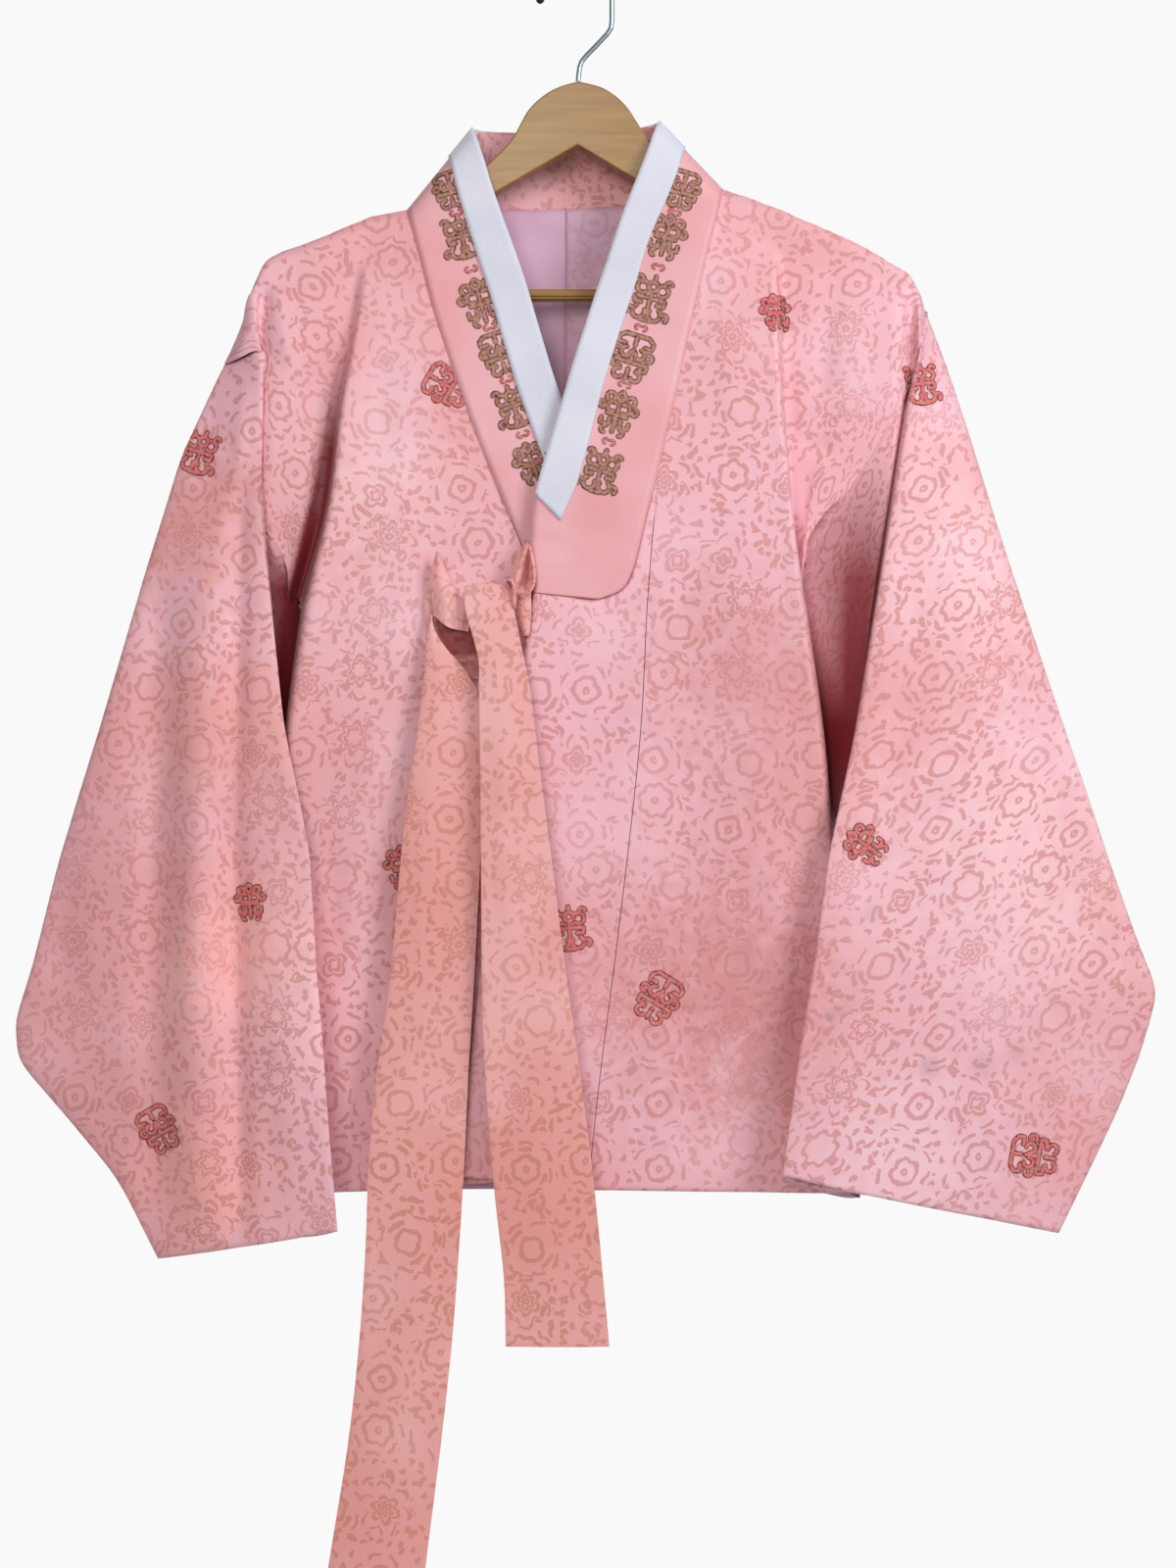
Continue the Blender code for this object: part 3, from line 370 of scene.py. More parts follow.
# The hanger's wood: x and z along its top from left to right, then back along its underside.
WOOD_TOP = (
    (-186.0, -190.5), (-175.0, -183.5), (-134.0, -165.5), (-106.0, -158.0), (-82.0, -142.5), (-66.0, -132.5),
    (-57.3, -126.7), (-49.6, -119.6), (-43.5, -113.4), (-39.0, -107.6), (-35.1, -100.3), (-29.8, -91.1),
    (-22.2, -83.5), (-13.0, -77.7), (-5.4, -75.0), (1.5, -73.6), (8.3, -74.8), (16.0, -77.1), (25.1, -82.7),
    (32.7, -90.4), (38.1, -98.8), (42.6, -105.6), (47.0, -112.0), (58.0, -122.0), (74.0, -135.0),
    (92.0, -146.0), (119.0, -155.5), (151.0, -166.5), (184.6, -182.0), (194.0, -190.0),
)
WOOD_UNDERSIDE = (
    (196.0, -205.0), (193.0, -214.0), (186.0, -216.5), (183.0, -213.0), (183.0, -202.0), (151.0, -187.0),
    (119.0, -176.5), (92.0, -168.0), (58.0, -147.5), (1.0, -113.2), (-49.6, -142.8), (-82.0, -165.0),
    (-106.0, -180.0), (-134.0, -186.0), (-173.5, -201.5), (-173.5, -213.0), (-177.0, -216.5),
    (-185.0, -216.0), (-188.5, -206.0),
)
WOOD_HALF_DEPTH = 5.5
# Grooves turned along the bar: depth and height.
BAR_GROOVES = ((-3.75, -207.5), (-3.1, -209.1))
BAR_GROOVE_LENGTH = 350.0


# Soft folds: x, z of the start, x, z of the end, half width, rise (troughs are negative).
FRONT_FOLDS = (
    (-104.0, -300.0, -112.0, -560.0, 17.0, 2.6),
    (-128.0, -470.0, -146.0, -740.0, 15.0, 2.8),
    (-96.0, -560.0, -101.0, -760.0, 13.0, -2.4),
    (-150.0, -560.0, -166.0, -765.0, 10.0, -2.2),
    (-118.0, -232.0, -124.0, -330.0, 11.0, -1.6),
    (66.0, -416.0, 88.0, -742.0, 20.0, -2.4),
    (100.0, -350.0, 112.0, -600.0, 16.0, 2.2),
    (118.0, -560.0, 132.0, -765.0, 14.0, 2.6),
    (44.0, -560.0, 52.0, -768.0, 15.0, 2.0),
    (96.0, -200.0, 102.0, -330.0, 14.0, 1.6),
    (-8.0, -560.0, -30.0, -750.0, 15.0, 1.8),
    (20.0, -420.0, 6.0, -560.0, 13.0, -1.4),
    (158.0, -196.0, 150.0, -300.0, 7.0, -2.4),
    (176.0, -214.0, 168.0, -296.0, 8.0, 1.6),
    (132.0, -286.0, 160.0, -268.0, 5.0, 1.6),
    (138.0, -300.0, 164.0, -306.0, 5.0, -1.5),
    (-160.0, -232.0, -178.0, -330.0, 9.0, -2.0),
    (-184.0, -210.0, -176.0, -262.0, 6.0, 1.6),
)
BACK_FOLDS = (
    (-60.0, -260.0, -70.0, -600.0, 20.0, 2.2),
    (-30.0, -420.0, -34.0, -740.0, 16.0, -1.8),
    (-120.0, -420.0, -146.0, -740.0, 18.0, 2.4),
    (52.0, -240.0, 62.0, -560.0, 20.0, 2.0),
    (24.0, -500.0, 28.0, -748.0, 15.0, -1.8),
    (100.0, -440.0, 128.0, -740.0, 17.0, 2.4),
    (-250.0, -400.0, -286.0, -700.0, 18.0, 2.6),
    (-205.0, -480.0, -214.0, -760.0, 13.0, -2.2),
    (250.0, -380.0, 290.0, -700.0, 18.0, 2.4),
    (196.0, -470.0, 206.0, -730.0, 13.0, -2.2),
)
SLEEVE_RIGHT_FOLDS = (
    (-232.0, -400.0, -233.0, -800.0, 15.0, 7.5),
    (-208.0, -330.0, -212.0, -560.0, 7.0, -6.0),
    (-212.0, -540.0, -206.0, -790.0, 8.0, -7.5),
    (-258.0, -400.0, -262.0, -780.0, 12.0, -5.0),
    (-288.0, -420.0, -304.0, -680.0, 20.0, 2.2),
    (-184.0, -560.0, -172.0, -780.0, 12.0, 2.8),
    (-318.0, -560.0, -322.0, -660.0, 12.0, -1.6),
    (-226.0, -268.0, -230.0, -350.0, 8.0, -1.8),
    (-206.0, -262.0, -212.0, -340.0, 5.0, 1.8),
)
SLEEVE_LEFT_FOLDS = (
    (238.0, -330.0, 262.0, -640.0, 26.0, 2.2),
    (200.0, -420.0, 190.0, -700.0, 20.0, -1.6),
    (292.0, -440.0, 326.0, -640.0, 20.0, -1.8),
    (170.0, -600.0, 162.0, -740.0, 14.0, 2.0),
    (250.0, -690.0, 270.0, -772.0, 16.0, 1.6),
    (214.0, -262.0, 222.0, -330.0, 7.0, -1.4),
)
COLLAR_FOLDS = (
    (-24.0, -354.0, 4.0, -362.0, 3.0, 2.4),
    (-20.0, -366.0, 12.0, -356.0, 3.0, -2.2),
    (-26.0, -374.0, 2.0, -378.0, 3.5, 1.6),
    (-86.0, -190.0, -94.0, -226.0, 6.0, 1.4),
    (68.0, -210.0, 62.0, -260.0, 7.0, 1.2),
)
RIBBON_FOLDS = (
    (-84.0, -420.0, -96.0, -620.0, 8.0, 1.8),
    (-72.0, -430.0, -76.0, -560.0, 5.0, -1.6),
    (-46.0, -400.0, -40.0, -640.0, 8.0, 1.6),
    (-30.0, -420.0, -22.0, -560.0, 5.0, -1.2),
    (-98.0, -760.0, -110.0, -960.0, 12.0, 1.6),
    (-30.0, -680.0, -14.0, -850.0, 10.0, 1.2),
)


def smooth_at(values, share):
    """The value at share (0 to 1) of a smooth curve through evenly spaced values or points."""
    points = np.asarray(values, float)
    position = min(max(share, 0.0), 1.0) * (len(points) - 1)
    i = min(int(position), len(points) - 2)
    t = position - i
    before = points[i - 1] if i > 0 else 2 * points[0] - points[1]
    after = points[i + 2] if i + 2 < len(points) else 2 * points[-1] - points[-2]
    a, b = points[i], points[i + 1]
    slope_a, slope_b = (b - before) / 2, (after - a) / 2
    t2, t3 = t * t, t * t * t
    ends = (2 * t3 - 3 * t2 + 1) * a + (3 * t2 - 2 * t3) * b
    return ends + (t3 - 2 * t2 + t) * slope_a + (t3 - t2) * slope_b


def smooth_step(share):
    share = min(max(share, 0.0), 1.0)
    return share * share * (3 - 2 * share)


def line_point(line, share):
    """The point at share of the way down a fold line."""
    (top, end), xs, depths = line
    return np.array([smooth_at(xs, share), smooth_at(depths, share), top + (end - top) * share])


def over_arm(line, share, side):
    """As line_point, but rounding over the hanger's arm near the shoulder. Side is -1 in front, 1 behind."""
    point = line_point(line, share)
    length = line[0][0] - line[0][1]
    radius = min(ARM_RADIUS, 0.3 * length)
    drop = min(share * length / radius, 1.0)
    least = RIDGE_GAP + (radius - RIDGE_GAP) * math.sqrt(1 - (1 - drop) ** 2)
    point[1] = side * max(side * point[1], least)
    return point


def collar_edge(rows, z, gap):
    """The point at height z on the collar's seam, moved sideways by gap towards the panel."""
    heights = [row[2] for row in rows][::-1]
    x = np.interp(z, heights, [row[0] for row in rows][::-1])
    depth = np.interp(z, heights, [row[1] for row in rows][::-1])
    return np.array([x + gap, depth, z])


def chord_curve(points, step, closed=False):
    """Fine columns on smooth curves through coarse ones. Points is rows by columns by 3.

    Returns the fine points and the fine column where each coarse one lies.
    """
    if closed:
        points = np.concatenate([points[:, -1:], points, points[:, :2]], axis=1)
    chords = np.maximum(np.linalg.norm(np.diff(points, axis=1), axis=2), 1e-4)[..., None]
    speeds = np.diff(points, axis=1) / chords
    slopes = np.concatenate([
        speeds[:, :1],
        (speeds[:, :-1] * chords[:, 1:] + speeds[:, 1:] * chords[:, :-1]) / (chords[:, 1:] + chords[:, :-1]),
        speeds[:, -1:],
    ], axis=1)
    first, last = (1, points.shape[1] - 2) if closed else (0, points.shape[1] - 1)
    parts, marks, total = [], [0], 0
    for i in range(first, last):
        length = chords[:, i]
        count = max(2, math.ceil(float(np.percentile(length, 80)) / step))
        for k in range(count):
            t = k / count
            h = (2 * t**3 - 3 * t**2 + 1, t**3 - 2 * t**2 + t, 3 * t**2 - 2 * t**3, t**3 - t**2)
            parts.append(h[0] * points[:, i] + h[1] * length * slopes[:, i]
                         + h[2] * points[:, i + 1] + h[3] * length * slopes[:, i + 1])
        total += count
        marks.append(total)
    parts.append(points[:, last])
    return np.stack(parts, axis=1), marks


def soften(points, passes):
    """Evens out a grid from row to row, and keeps its first and last rows."""
    points = points.copy()
    for _ in range(passes):
        points[1:-1] = (points[:-2] + 2 * points[1:-1] + points[2:]) / 4
    return points


def arc_u(points, reference):
    """Millimetres across the cloth, measured level along each row from the x of a reference column."""
    steps = np.linalg.norm(np.diff(points[..., :2], axis=1), axis=2)
    along = np.concatenate([np.zeros((len(points), 1)), np.cumsum(steps, axis=1)], axis=1)
    return points[:, reference:reference + 1, 0] + along - along[:, reference:reference + 1]


def grid_normals(points):
    down, across = np.gradient(points, axis=0), np.gradient(points, axis=1)
    normal = np.cross(down, across)
    return normal / np.maximum(np.linalg.norm(normal, axis=2, keepdims=True), 1e-9)


def relief(x, z, folds, seed):
    """Height of the soft ridges and troughs at a place, and of the cloth's slight waviness."""
    height = 0.0
    for x0, z0, x1, z1, width, rise in folds:
        dx, dz = x1 - x0, z1 - z0
        t = min(max(((x - x0) * dx + (z - z0) * dz) / (dx * dx + dz * dz), 0.0), 1.0)
        far = math.hypot(x - x0 - t * dx, z - z0 - t * dz)
        uneven = 0.8 + 0.5 * noise.noise((x0 * 0.1, seed, t * 4.0))
        height += rise * uneven * math.exp(-(far / width) ** 2) * math.sin(math.pi * (0.06 + 0.88 * t)) ** 0.7
    height += 1.1 * noise.noise((x / 46.0, z / 95.0, seed))
    return height + 0.35 * noise.noise((x / 17.0, z / 30.0, seed + 5.0))


def folded(points, folds, side, seed):
    """Gives a grid its soft folds, to the front (side -1) or to the back (side 1)."""
    points = points.copy()
    facing = np.abs(grid_normals(points)[..., 1])
    for (i, j), shown in np.ndenumerate(facing):
        x, _, z = points[i, j]
        points[i, j, 1] += side * shown * relief(x, z, folds, seed)
    return points


def piece_of(bm, name, materials):
    """Makes a piece from a bmesh, on the object's one body."""
    mesh = bpy.data.meshes.new(name)
    bm.to_mesh(mesh)
    bm.free()
    for material in materials:
        mesh.materials.append(material)
    obj = bpy.data.objects.new(name, mesh)
    bpy.context.scene.collection.objects.link(obj)
    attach(obj, BODY)
    return obj


def cloth(name, points, u, wall, outer, inner=None, valid=None, towards=None, centre=None, closed=False,
          recess_shade=None):
    """A finished sheet of cloth on a fine grid of points, with its width and drop in its UV map.

    The recess shade tells how much painted shade each point gets for lying deep in a fold, from 0 to 1.
    """
    bm = bmesh.new()
    weave = bm.loops.layers.uv.new("weave")
    # The painted fold shade goes on each point as an attribute that the material reads.
    depth = bm.verts.layers.float.new("recess_shade")
    rows, columns = points.shape[:2]
    verts = [[bm.verts.new(Vector(points[i, j]) * MM) for j in range(columns)] for i in range(rows)]
    if recess_shade is not None:
        for i in range(rows):
            for j in range(columns):
                verts[i][j][depth] = float(recess_shade[i, j])
    area = 0.0
    for i in range(rows - 1):
        for j in range(columns - 1):
            if valid is not None and not valid(i, j):
                continue
            places = ((i, j), (i + 1, j), (i + 1, j + 1), (i, j + 1))
            face = bm.faces.new([verts[a][b] for a, b in places])
            face.smooth = True
            area += face.calc_area()
            for loop, (a, b) in zip(face.loops, places):
                loop[weave].uv = (u[a, b] * MM, points[a, b, 2] * MM)
    bmesh.ops.delete(bm, geom=[v for v in bm.verts if not v.link_faces], context="VERTS")
    if closed:
        bmesh.ops.remove_doubles(bm, verts=bm.verts[:], dist=1e-6)
    bm.normal_update()
    facing = 0.0
    for face in bm.faces:
        middle = face.calc_center_median()
        direction = Vector(towards) if towards is not None else middle - Vector(centre(middle.z / MM)) * MM
        facing += face.normal.dot(direction) * face.calc_area()
    if facing < 0:
        bmesh.ops.reverse_faces(bm, faces=bm.faces[:])
    obj = piece_of(bm, name, (outer, inner or outer))
    wall_modifier = obj.modifiers.new("wall", "SOLIDIFY")
    wall_modifier.thickness = wall * MM
    wall_modifier.offset = -1.0
    wall_modifier.use_quality_normals = True
    wall_modifier.material_offset = 1
    return obj


def shade_rows(upper_count=70, lower_count=112):
    """How far down a panel its fine rows lie, closer together where it rounds the shoulder."""
    ridge = 0.05 * np.linspace(0, 1, 12, endpoint=False) ** 2
    return list(ridge) + list(np.linspace(0.05, 1, upper_count)) + list(np.linspace(1, 2, lower_count)[1:])


def front_points(upper, lower, neck, rows):
    """Coarse columns of a front at each fine row: neck edge to side seam, and above it on to the arm."""
    inner_shares = (0.0, 0.33, 0.66, 0.9)
    outer_names = [name for name in upper if name not in ("fold", "valley", "side")]
    grid = []
    for row in rows:
        above = row <= 1.0
        lines, share = (upper, row) if above else (lower, row - 1.0)
        place = over_arm if above else (lambda line, at, side: line_point(line, at))
        start = neck(row)
        fold = place(lines["fold"], share, -1)
        points = [start + (fold - start) * at for at in inner_shares]
        points += [fold] + [place(lines[name], share, -1) for name in ("valley", "side")]
        if above:
            points += [place(upper[name], share, -1) for name in outer_names]
            spread = [point - points[6] for point in points[7:]]
        else:
            points += [points[6] + offset for offset in spread]
        grid.append(points)
    return np.array(grid)


def dense(table, count=90):
    """A table's rows on smooth curves, close together."""
    return np.array([smooth_at(table, share) for share in np.linspace(0, 1, count)])


def overlap_seam_at(z):
    """The point at height z on the outer overlap's seam."""
    curve = dense(OVERLAP_SEAM)[::-1]
    return np.array([np.interp(z, curve[:, 2], curve[:, 0]), np.interp(z, curve[:, 2], curve[:, 1]), z])


def right_neck(row):
    """The right front's inner edge: the collar's seam, then the seam to the inner overlap."""
    lower = FRONT_RIGHT_LOWER["neck"]
    if row > 1.0:
        return line_point(lower, row - 1.0)
    top = COLLAR_RIGHT[0][2]
    z = top + (ARMPIT_Z - top) * row
    last = np.array(COLLAR_RIGHT[-1][:3])
    if z < last[2]:
        start = last - np.array([SEAM_GAP, 0, 0])
        return start + (line_point(lower, 0.0) - start) * (z - last[2]) / (ARMPIT_Z - last[2])
    return collar_edge(COLLAR_RIGHT, z, -SEAM_GAP)


def left_neck(row):
    """The left front's inner edge: the collar's seam, then the seam to the outer overlap."""
    beyond = np.array([SEAM_GAP, 0, 0])
    top, hem = COLLAR_LEFT[0][2], OVERLAP_SEAM[-1][2]
    if row > 1.0:
        return overlap_seam_at(ARMPIT_Z + (hem - ARMPIT_Z) * (row - 1.0)) + beyond
    z = top + (ARMPIT_Z - top) * row
    if z < OVERLAP_SEAM[0][2]:
        return overlap_seam_at(z) + beyond
    return collar_edge(COLLAR_LEFT, z, SEAM_GAP)


def front_fold_shade(points, marks, armpit, start):
    """How much painted shade each front point gets in the fold beside the body, from 0 to 1: it deepens below
    start.
    """
    at = np.interp(np.arange(points.shape[1]), marks, np.arange(len(marks)))[None, :]
    opening = np.clip((at - FOLD_OPENS) / FOLD_OPENING, 0, 1)
    drop = np.clip((start - points[..., 2]) / FOLD_DROP, 0, 1)
    closing = 1 - np.clip((at - FOLD_CLOSES - FOLD_WIDENS * drop) / FOLD_CLOSING, 0, 1)
    closing[armpit:] = 1.0
    return opening * closing * np.clip(drop * FOLD_DARKENS, 0, 1)


def sleeve_fold_shade(points, crease, armpit, deepening):
    """Painted fold shade as on a front, here on a sleeve, between the columns of its crease and its armpit
    side.

    Deepening is the drop over which its deepest part comes up.
    """
    across = (np.arange(points.shape[1]) - crease) / (armpit - crease)
    by_crease = 1 - np.clip((across - 0.5) / 0.45, 0, 1)
    drop = SLEEVE_FOLD_TOP - points[..., 2]
    deepest = np.clip((drop - SLEEVE_FOLD_DEEP) / deepening, 0, 1)
    recess_shade = np.maximum(FOLD_SHADE_DARKEST * by_crease * np.clip(drop / SLEEVE_FOLD_DROP, 0, 1), deepest)
    recess_shade *= np.clip(across / 0.04, 0, 1) * np.clip((1 - across) / 0.08, 0, 1)
    fading = [1 - smooth_step((at - 0.5) / 0.1) for at in np.linspace(0, 1, len(points))]
    return recess_shade * np.array(fading)[:, None]


def tucked(points, rows):
    """Adds a column that runs in under the collar from a front's neck edge, above the overlap."""
    inwards = points[:, 0] - points[:, 3]
    inwards[:, 1] = 0.0
    inwards /= np.linalg.norm(inwards, axis=1, keepdims=True)
    reach = np.array([SEAM_TUCK * (1 - smooth_step((row - 0.72) / 0.1)) for row in rows])[:, None]
    hidden = points[:, 0] + inwards * (reach + 0.01) + np.array([0.0, 0.75, 0.0]) * reach
    return np.concatenate([hidden[:, None], points], axis=1)


def make_front(name, upper, lower, neck, fold_start, looks):
    rows = shade_rows()
    armpit = sum(row <= 1.0 for row in rows) - 1
    coarse = front_points(upper, lower, neck, rows)
    for points, row in zip(coarse, rows):
        points[5, 1] += VALLEY_DEEPER * smooth_step((row - 0.7) / 0.5) * (1 - 0.4 * smooth_step(row - 1.2))
    fine, marks = chord_curve(coarse, STEP)
    fine = folded(fine, FRONT_FOLDS, -1, 3.0)
    fine, marks = tucked(fine, rows), [mark + 1 for mark in marks]
    side = marks[6]
    return cloth(name, fine, arc_u(fine, marks[2]), CLOTH, looks["damask"], looks["lining"],
                 valid=lambda i, j: j < side or i < armpit, towards=(0, -1, 0),
                 recess_shade=front_fold_shade(fine, marks, armpit, fold_start))


def make_back(name, upper, lower, looks):
    rows = shade_rows()
    armpit = sum(row <= 1.0 for row in rows) - 1
    grid = []
    for row in rows:
        if row <= 1.0:
            points = [line_point(upper[n], row) for n in ("centre", "nape", "blade")]
            points += [over_arm(upper[n], row, 1) for n in list(upper)[3:]]
            spread = [point - points[4] for point in points[5:]]
        else:
            points = [line_point(line, row - 1.0) for line in lower.values()]
            points += [points[4] + offset for offset in spread]
        grid.append(points)
    fine, marks = chord_curve(np.array(grid), STEP)
    side = marks[4]
    fine = folded(fine, BACK_FOLDS, 1, 9.0)
    return cloth(name, fine, arc_u(fine, marks[1]), CLOTH, looks["damask"], looks["lining"],
                 valid=lambda i, j: j < side or i < armpit, towards=(0, 1, 0))


def sleeve_ring(sections, front_seam, back_seam, at):
    """One closed ring of a sleeve: outer edge, crease, armpit side and round behind."""
    downs = [row[0] for row in sections]
    here = np.array([np.interp(at, downs, [row[i] for row in sections]) for i in range(1, 10)])
    outer, crease, armpit = here.reshape(3, 3)
    first = np.array(sections[0][1:], float).reshape(3, 3)
    held = 1 - smooth_step(at / 0.5)
    full = SLEEVE_FULLNESS * smooth_step(at / 0.3)
    bulge = SLEEVE_FRONT_BULGE * smooth_step(at / 0.3)
    ring = [outer]
    for share in (0.25, 0.5, 0.75):
        point = outer + (crease - outer) * share
        point[1] -= bulge * math.sin(math.pi * share)
        ring.append(point)
    ring.append(crease)
    for line, share in front_seam:
        free = crease + (armpit - crease) * share
        ring.append(free + held * (line - (first[1] + (first[2] - first[1]) * share)))
    ring.append(armpit)
    for line, share in back_seam:
        free = armpit + (outer - armpit) * share
        point = free + held * (line - (first[2] + (first[0] - first[2]) * share))
        point[1] += full * math.sin(math.pi * share ** 1.6)
        ring.append(point)
    return ring


def make_sleeve(name, sections, front, back, folds, seed, deepening, looks):
    outwards = math.copysign(1.0, sections[0][1])
    front_seam = [(line_point(front[n], 1.0), share) for n, share in FRONT_SEAM_LINES]
    back_seam = [(line_point(back[n], 1.0), share) for n, share in BACK_SEAM_LINES]
    downs = np.linspace(0, 1, 180)
    coarse = soften(np.array([sleeve_ring(sections, front_seam, back_seam, at) for at in downs]), 10)
    underarm = len(FRONT_SEAM_LINES) + 5
    for ring, at in zip(coarse, downs):
        here = smooth_step(at / UNDERARM_START) * (1 - smooth_step((at - UNDERARM_END) / UNDERARM_FADE))
        for column, share in ((underarm - 2, 0.3), (underarm - 1, 0.6), (underarm, 1.0), (underarm + 1, 0.5)):
            ring[column, 0] -= outwards * UNDERARM_CLOSING * here * share
            ring[column, 1] += UNDERARM_DEEPER * here * share
    tuck = coarse[0] + np.array([-outwards * 0.7, 0.0, 0.9]) * SEAM_TUCK
    tuck[:, 1] -= np.sign(coarse[0][:, 1]) * (CLOTH + 0.3)
    coarse[0][:, 1] -= np.sign(coarse[0][:, 1]) * 0.25
    coarse = np.concatenate([tuck[None], coarse])
    fine, marks = chord_curve(coarse, STEP, closed=True)
    facing = grid_normals(fine)[..., 1] * outwards
    front_side = np.sign(np.median(facing[:, marks[1]:marks[3]]))
    for i in range(1, len(fine)):
        settle = smooth_step(i / 14)
        for j in range(fine.shape[1] - 1):
            x, _, z = fine[i, j]
            level = facing[i, j] * front_side
            height = relief(x, z, folds if level > 0 else BACK_FOLDS, seed)
            fine[i, j, 1] -= settle * level * height
    fine[:, -1] = fine[:, 0]

    def middle(z):
        nearest = min(coarse[::6], key=lambda ring: abs(np.mean(ring, axis=0)[2] - z))
        return np.mean(nearest, axis=0)

    return cloth(name, fine, arc_u(fine, marks[4]), CLOTH, looks["damask"], looks["damask"], centre=middle,
                 closed=True, recess_shade=sleeve_fold_shade(fine, marks[4], marks[underarm], deepening))


def band_points(table, shares, count=90):
    """Fine points across a collar band: share 0 is its seam and 1 is its neck edge."""
    rows = dense(table, count)
    seam, edge = rows[:, None, :3], rows[:, None, 3:]
    return seam + (edge - seam) * np.array(shares)[None, :, None]


def moved_out(points, towards, distance):
    """The grid moved along its own normals, on the side of towards."""
    normal = grid_normals(points)
    normal *= np.sign(normal @ np.array(towards, float))[..., None]
    return points + normal * distance


def make_collars(looks):
    shares = np.linspace(0, 1, 15)
    for name, table, towards in (("collar_right", COLLAR_RIGHT, (0, -1, 0.2)),
                                 ("collar_left", COLLAR_LEFT, (0, -1, 0.2)),
                                 ("collar_back", COLLAR_BACK, (0, 1, 0.3))):
        points = band_points(table, shares)
        if name != "collar_back":
            points[..., 1] -= 0.5
            for i, row in enumerate(points):
                for j, (x, _, z) in enumerate(row):
                    points[i, j, 1] -= 0.35 * relief(x, z, COLLAR_FOLDS, 12.0)
        inner = looks["figured_inside"] if name == "collar_back" else looks["collar"]
        obj = cloth("neckband_" + name.split("_")[1], points, arc_u(points, 7), COLLAR, looks["collar"],
                    inner, towards=towards)
        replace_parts(obj, name)


def make_white_band(side, table, towards, looks, clear=0.4, tip=None):
    rows = dense(table)
    seam, edge = rows[:, None, :3], rows[:, None, 3:]
    across = (seam - edge) / np.linalg.norm(seam - edge, axis=2, keepdims=True)
    points = edge + across * np.linspace(-WHITE_BAND_OVERHANG, WHITE_BAND_WIDTH, 9)[None, :, None]
    if tip is not None:
        start, end = np.array(tip)
        last = start + (end - start) * np.linspace(0, 1, 9)[:, None]
        more = [points[-1] + (last - points[-1]) * share for share in np.linspace(0, 1, 9)[1:]]
        points = np.concatenate([points, more])
    points = moved_out(points, towards, WHITE_BAND + clear)
    obj = cloth("paper_band_" + side, points, arc_u(points, 4), WHITE_BAND, looks["white_band"],
                towards=towards)
    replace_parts(obj, "white_band_" + side)


def make_overlaps(looks):
    shares = np.linspace(0, 1, 125)
    tops = np.array([smooth_at(OVERLAP_TOP, share) for share in np.linspace(0, 1, 31)])
    across = np.interp(np.linspace(0, 1, 31), np.linspace(0, 1, 7), OVERLAP_TOP_SHARES)[:, None]
    bow = tops - (tops[0] + (tops[-1] - tops[0]) * across)
    grid = []
    for share in shares:
        free, seam = smooth_at(OVERLAP_EDGE, share), smooth_at(OVERLAP_SEAM, share)
        grid.append(free + (seam - free) * across + bow * (1 - smooth_step(share / 0.4)))
    points = folded(np.array(grid), FRONT_FOLDS, -1, 3.0)
    hidden = points[0] + np.array([0.0, 2.8, 0.0])
    hidden[:, 2] += SEAM_TUCK
    hidden[:, 0] -= np.linspace(0, SEAM_TUCK, 31)
    points = np.concatenate([hidden[None], points])
    outer = cloth("overlap_over", points, arc_u(points, 15), CLOTH, looks["damask"], looks["lining"],
                  towards=(0, -1, 0))
    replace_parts(outer, "overlap_outer")
    grid = []
    for share in shares:
        seam, edge = line_point(FRONT_RIGHT_LOWER["neck"], share), line_point(INNER_OVERLAP_EDGE, share)
        seam[0] += SEAM_GAP
        grid.append([seam + (edge - seam) * at for at in np.linspace(0, 1, 16)])
    points = np.array(grid)
    inner = cloth("overlap_under", points, arc_u(points, 8), CLOTH, looks["damask"], looks["lining"],
                  towards=(0, -1, 0))
    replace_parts(inner, "overlap_inner")


def make_linings(looks):
    """The lining that the open neck shows, over the back below the collar's seam."""
    for side, upper in (("right", BACK_RIGHT_UPPER), ("left", BACK_LEFT_UPPER)):
        grid = []
        inwards = 1.5 if side == "right" else -0.5
        for share in np.linspace(*LINING_SPAN, 60):
            row = [line_point(upper[line], share) for line in ("centre", "nape", "blade")]
            row[0][0] += inwards
            forward = CLOTH + 1.4 + 2.0 * (1 - smooth_step(share / 0.08)) + (0.3 if side == "left" else 0.0)
            grid.append([point - np.array([0.0, forward, 0.0]) for point in row])
        points, _ = chord_curve(np.array(grid), STEP)
        for i, row in enumerate(points):
            for j, (x, _, z) in enumerate(row):
                points[i, j, 1] += 0.8 * min(relief(x, z, (), 21.0), 0.6)
        look = looks["lining_figured"] if side == "left" else looks["lining"]
        obj = cloth("neck_lining_" + side, points, arc_u(points, 4), LINING, look, towards=(0, -1, 0))
        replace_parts(obj, "lining_" + side)


def ribbon_points(table, count, columns, bow):
    """Fine points of a ribbon, with a slight crown across it that grows from nothing at its edges."""
    rows = dense(table, count)
    share = np.linspace(0, 1, columns)[None, :]
    left, right, depth, z = (rows[:, k:k + 1] for k in range(4))
    crown = bow * np.sin(math.pi * share)
    return np.stack([left + (right - left) * share, depth - crown, z + 0 * share], axis=2)


def finish_ribbon(name, node, points, looks, recess_shade=None):
    obj = cloth(name, points, arc_u(points, points.shape[1] // 2), RIBBON, looks["ribbon"],
                towards=(0, -1, 0), recess_shade=recess_shade)
    soft = obj.modifiers.new("fold_edge", "BEVEL")
    soft.width = 0.6 * MM
    soft.segments = 2
    soft.limit_method = "ANGLE"
    if node:
        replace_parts(obj, node)
    return obj


